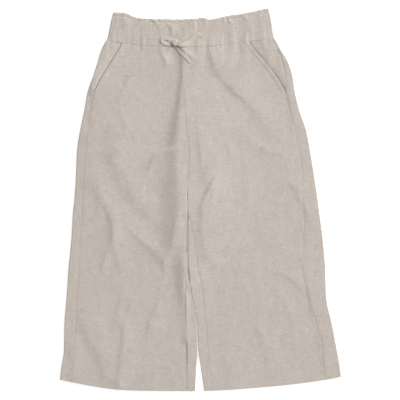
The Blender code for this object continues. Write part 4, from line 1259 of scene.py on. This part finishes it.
def through_knot(route_end, across_end, next_start, next_across, steps=14):
    """The stretch of tie that runs hidden through the knot, between a loop and a tail."""
    shares = np.linspace(0.0, 1.0, steps + 2)[1:-1, None]
    middle = np.array((*KNOT_CENTRE, (route_end[2] + next_start[2]) / 2))
    route = (1 - shares) ** 2 * route_end + 2 * shares * (1 - shares) * middle
    route = route + shares ** 2 * next_start
    sign = 1.0 if across_end @ next_across > 0 else -1.0
    wide = (1 - shares) * across_end + shares * sign * next_across
    wide += np.array((0.0, 0.0, 0.02))
    return route, wide / np.linalg.norm(wide, axis=1)[:, None], sign


def tape_section():
    """Outline of the flat tape: a folded strip with rounded edges and a stitched edge."""
    half, thick = TIE_WIDTH / 2, TIE_CLOTH / 2
    pillow = thick * (1 - np.abs(TAPE_ACROSS / half) ** 7) ** 0.5
    groove = 0.08 * peak(TAPE_ACROSS - half + 1.5, 0.45)
    middle = 0.06 * peak(TAPE_ACROSS, 1.4)
    top = np.column_stack((TAPE_ACROSS, pillow - groove - middle))
    bottom = np.column_stack((TAPE_ACROSS, -pillow))[::-1][1:-1]
    return np.vstack((top, bottom))


def tube_faces(rows, columns):
    """Faces round a tube of rings of points, with both of its ends closed."""
    grid = np.arange(rows * columns).reshape(rows, columns)
    beside = np.roll(grid, -1, axis=1)
    i = np.arange(columns // 2 - 1)
    faces = [np.stack((grid[:-1], grid[1:], beside[1:], beside[:-1]), axis=-1).reshape(-1, 4)]
    for ring in (grid[0], grid[-1][::-1]):
        faces.append(np.stack((ring[i], ring[i + 1], ring[-2 - i], ring[-1 - i]), axis=-1))
    return np.concatenate(faces)


def ribbon_object(name, route, wide, over, material):
    """A flat tape along a route, as an object that rides."""
    along = directions(route)
    normals = np.cross(along, wide)
    normals /= np.linalg.norm(normals, axis=1)[:, None]
    section = tape_section()
    lengths = lengths_along(route)
    lift = np.hstack((over, over[:, ::-1][:, 1:-1]))
    flutter = 0.08 * noise(lengths[:, None], section[None, :, 0], 5.0, 4.0, 51)
    squeeze = 1 + 0.05 * noise(lengths, lengths, 9.0, 1e6, 52)[:, None]
    thick = section[None, :, 1] + flutter * (section[None, :, 1] > 0)
    points = route[:, None, :] + wide[:, None, :] * (section[None, :, 0] * squeeze)[..., None]
    points = points + normals[:, None, :] * thick[..., None]
    points[..., 2] += lift
    faces = tube_faces(*points.shape[:2])
    return mesh_object(name, points, faces, material)


def knot_object(material):
    """The knot: a tight lump of the same tape, with the wrap's edges and tucks."""
    columns, rows = KNOT_GRID
    around = np.linspace(0.0, 2 * math.pi, columns, endpoint=False)
    down = np.linspace(0.04, math.pi - 0.04, rows)[:, None]
    out = np.sin(down) ** KNOT_ROUNDNESS
    x, y = out * np.cos(around), out * np.sin(around)
    z = np.sign(np.cos(down)) * np.abs(np.cos(down)) ** KNOT_ROUNDNESS * np.ones(columns)
    swell = 1 + 0.05 * noise(around * 3, down * 3 + 0 * around, 1.4, 1.2, 61)
    wrapped = x + 0.28 * y
    band = 0.10 * peak(wrapped, 0.42) * (z > -0.3)
    wrap_edges = -0.10 * (peak(wrapped - 0.52, 0.07) + peak(wrapped + 0.50, 0.07))
    tucks = -0.05 * peak(y - 0.25 * x, 0.09) * (np.abs(x) < 0.5)
    radius = swell + (band + wrap_edges + tucks) * smooth((z + 0.4) / 0.5)
    half = [size / 2 for size in KNOT_SIZE]
    a, b, c = (v * radius * h for v, h in zip((x, y, z), half))
    lowest = highest_round(KNOT_CENTRE, half[1]) + TIE_CLEARANCE
    c = np.maximum(c, -half[2])
    points = np.stack((
        KNOT_CENTRE[0] + a * math.cos(KNOT_TURN) - b * math.sin(KNOT_TURN),
        KNOT_CENTRE[1] + a * math.sin(KNOT_TURN) + b * math.cos(KNOT_TURN),
        lowest + half[2] + c,
    ), axis=-1)
    faces = tube_faces(rows, columns)
    return mesh_object("bow_knot", points, faces, material)


# ---- Stitches ----

def stitch_line(points, offset=0.0):
    """Centres and directions of the stitches along a line, in plan."""
    points = np.array(points, float)
    lengths = lengths_along(points)
    places = np.arange(STITCH_PITCH / 2 + offset, lengths[-1] - STITCH_LENGTH / 2, STITCH_PITCH)
    x = np.interp(places, lengths, points[:, 0])
    y = np.interp(places, lengths, points[:, 1])
    ahead_x = np.interp(places + 0.5, lengths, points[:, 0]) - x
    ahead_y = np.interp(places + 0.5, lengths, points[:, 1]) - y
    long = np.hypot(ahead_x, ahead_y)
    return np.column_stack((x, y)), np.column_stack((ahead_x / long, ahead_y / long))


def stitches_object(name, lines, height, material, lift=0.1):
    """All the stitches of some lines, as one joined mesh of small beads of thread."""
    centres = np.vstack([line[0] for line in lines])
    ways = np.vstack([line[1] for line in lines])
    sides = np.column_stack((-ways[:, 1], ways[:, 0]))
    stations = np.array((-0.5, -0.36, 0.0, 0.36, 0.5)) * STITCH_LENGTH
    radii = np.array((0.35, 0.9, 1.0, 0.9, 0.35)) * STITCH_RADIUS
    turns = np.linspace(0.0, 2 * math.pi, 6, endpoint=False)
    points = []
    for station, radius in zip(stations, radii):
        place = centres + ways * station
        sunk = STITCH_SINK * (np.abs(station) > 0.4 * STITCH_LENGTH)
        level = height(place[:, 0], place[:, 1]) + lift - sunk
        for turn in turns:
            flat = place + sides * radius * math.cos(turn)
            points.append(np.column_stack((flat, level + radius * math.sin(turn))))
    points = np.stack(points, axis=1)
    per = points.shape[1]
    last = per - len(turns)
    k = np.arange(len(turns))
    around = np.stack((k, (k + 1) % 6, (k + 1) % 6 + 6, k + 6), axis=-1)
    one = [around + ring for ring in range(0, last, len(turns))]
    one.append(np.array(((3, 2, 1, 0), (5, 4, 3, 0), (last, last + 1, last + 2, last + 3),
                         (last, last + 3, last + 4, last + 5))))
    faces = (np.vstack(one)[None] + per * np.arange(len(centres))[:, None, None]).reshape(-1, 4)
    return mesh_object(name, points, faces, material)


# ---- Materials ----

def linen_material(name, colour, fleck=1.0, weave=1.0):
    """Slubbed linen: a plain weave with pale and dark slubs both ways, matt and dry."""
    material = bpy.data.materials.new(name)
    material.use_nodes = True
    tree = material.node_tree
    place = tree.nodes.new("ShaderNodeTexCoord").outputs["Object"]

    def new(kind, values):
        return fill(tree, tree.nodes.new("ShaderNode" + kind), values)

    def noise_of(scale, shift, detail=2.0):
        mapping = new("Mapping", {"Vector": place, "Scale": scale, "Location": shift})
        values = {"Vector": mapping.outputs["Vector"], "Scale": 1.0, "Detail": detail}
        return new("TexNoise", {**values, "Roughness": 0.55}).outputs["Fac"]

    def math_of(operation, first, second):
        node = new("Math", {0: first, 1: second})
        node.operation = operation
        return node.outputs["Value"]

    def mix_of(*parts):
        total, *others = (math_of("MULTIPLY", part, share) for part, share in parts)
        for other in others:
            total = math_of("ADD", total, other)
        return total

    def slubs_of(scale, shift):
        ramp = new("ValToRGB", {"Fac": noise_of(scale, shift)})
        first, last = ramp.color_ramp.elements
        first.position, first.color = 0.30, (0.0, 0.0, 0.0, 1.0)
        last.position, last.color = 0.70, (1.0, 1.0, 1.0, 1.0)
        for position in (0.41, 0.59):
            ramp.color_ramp.elements.new(position).color = (0.5, 0.5, 0.5, 1.0)
        return ramp.outputs["Color"]

    def threads(direction, period):
        scale = 2 * math.pi / (20 * period)
        wave = new("TexWave", {"Vector": place, "Scale": scale, "Distortion": 0.6, "Detail": 1.0})
        wave.bands_direction = direction
        return wave.outputs["Fac"]

    weft = slubs_of((95.0, 560.0, 60.0), (3.1, 7.7, 0.0))
    warp = slubs_of((560.0, 80.0, 60.0), (11.3, 2.9, 5.0))
    mottle = noise_of((26.0, 26.0, 26.0), (1.0, 4.0, 2.0), 3.0)
    fine = noise_of((420.0, 420.0, 420.0), (9.0, 1.0, 6.0))
    tone = mix_of((weft, 0.19 * fleck), (warp, 0.17 * fleck), (mottle, 0.07), (fine, 0.10 * fleck))
    tone = math_of("ADD", tone, 1.0 - 0.18 * fleck - 0.035 - 0.05 * fleck)
    tint = new("VectorMath", {0: colour})
    tint.operation = "SCALE"
    fill(tree, tint, {"Scale": tone})
    height = math_of("MAXIMUM", threads("X", 0.00085), threads("Y", 0.00095))
    height = mix_of((height, 0.5 * weave), (weft, 0.6), (warp, 0.6))
    bump = new("Bump", {"Strength": 0.35, "Distance": 0.0002, "Height": height})
    fill(tree, tree.nodes["Principled BSDF"], {
        "Base Color": tint.outputs["Vector"],
        "Metallic": 0.0,
        "Roughness": math_of("ADD", math_of("MULTIPLY", fine, 0.16), 0.80),
        "Specular IOR Level": 0.25,
        "Sheen Weight": 0.12,
        "Sheen Roughness": 0.5,
        "Normal": bump.outputs["Normal"],
    })
    return material


# ---- The pieces ----

def build_sheet(name, skins, node, linen):
    """A piece of cloth that stands for a solid, which it hides."""
    piece = wall_object(name, *skins, linen)
    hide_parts(node)


def build_cloth(linen):
    """The panels and pocket facings of both legs, and the waistband."""
    for side in (RIGHT, LEFT):
        name = SIDE_NAMES[side]
        back = "back_panel_" + name
        build_sheet("front_" + name, front_skins(side), "front_panel_" + name, linen)
        build_sheet("back_" + name, back_skins(side), back, linen)
        build_sheet("facing_" + name, facing_skins(side), "pocket_facing_" + name, linen)
    build_sheet("band_front", band_front_skins(), "waistband_front", linen)
    build_sheet("band_back", band_back_skins(), "waistband_back", linen)


def build_tie(tape):
    """The bow: each half of the tape with its loop and free end, and the knot."""
    knot = knot_object(tape)
    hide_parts("tie_knot")
    halves = {
        "right": (ring_route(), tail_route(RIGHT_TAIL, False)),
        "left": (closed_route(), tail_route(LEFT_TAIL, True)),
    }
    for name, (loop, tail) in halves.items():
        hidden, hidden_wide, sign = through_knot(loop[0][-1], loop[1][-1], tail[0][0], tail[1][0])
        route = np.vstack((loop[0], hidden, tail[0]))
        wide = np.vstack((loop[1], hidden_wide, sign * tail[1]))
        level = np.zeros((len(hidden), len(TAPE_ACROSS)))
        over = np.vstack((loop[2], level, tail[2][:, ::int(sign)]))
        half = ribbon_object("tie_" + name, route, wide, over, tape)
        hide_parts("tie_loop_" + name, "tie_tail_" + name)


def seam_points(xs, line):
    """Plan points along a line given as y at x."""
    xs = np.asarray(xs, float)
    return np.column_stack((xs, line(xs)))


def build_stitches(thread):
    """Rows of stitches at the hems, the pocket mouths and the waistband."""
    for side in (RIGHT, LEFT):
        name = SIDE_NAMES[side]
        hem = HEM[side]

        def height(x, y, hem=hem):
            return panel_top(x, y, hem)

        bottom = BOTTOM_ROW[side] + HEM_DEPTH
        outer = section("edge", side)(bottom) - side * 4.0
        inner = section("fold", side)(bottom) + side * 4.0
        xs = np.linspace(outer, inner, 120)
        lines = [stitch_line(seam_points(xs, lambda x: hem(x) + HEM_DEPTH))]
        stitches_object("hem_stitches_" + name, lines, height, thread)
        ys = np.linspace(POCKET_END + 4.0, POCKET_MOUTHS[0][0] - 3.0, 60)
        mouth = POCKET[name](ys)
        slope = np.gradient(mouth, ys)
        normal = np.column_stack((np.ones(len(ys)), -slope)) / np.hypot(1.0, slope)[:, None]
        rows = [
            stitch_line(np.column_stack((mouth, ys)) - side * normal * inset, offset)
            for inset, offset in zip(POCKET_STITCHES, (0.0, 1.7))
        ]
        stitches_object("pocket_stitches_" + name, rows, height, thread, lift=0.35)
    xs = np.linspace(-180.0, 140.0, 200)
    lines = [
        stitch_line(seam_points(xs, heading_line)),
        stitch_line(seam_points(xs, lambda x: waist_seam(x) + LOW_STITCHES), 1.1),
    ]
    stitches_object("band_stitches", lines, band_top, thread)


make_camera()
make_light()
make_floor()
linen = linen_material("linen_cloth", LINEN, fleck=1.45)
tape = linen_material("tie_tape", TIE_LINEN, fleck=0.7)
thread = linen_material("linen_thread", THREAD, fleck=0.3, weave=0.0)
build_tie(tape)
build_cloth(linen)
build_stitches(thread)
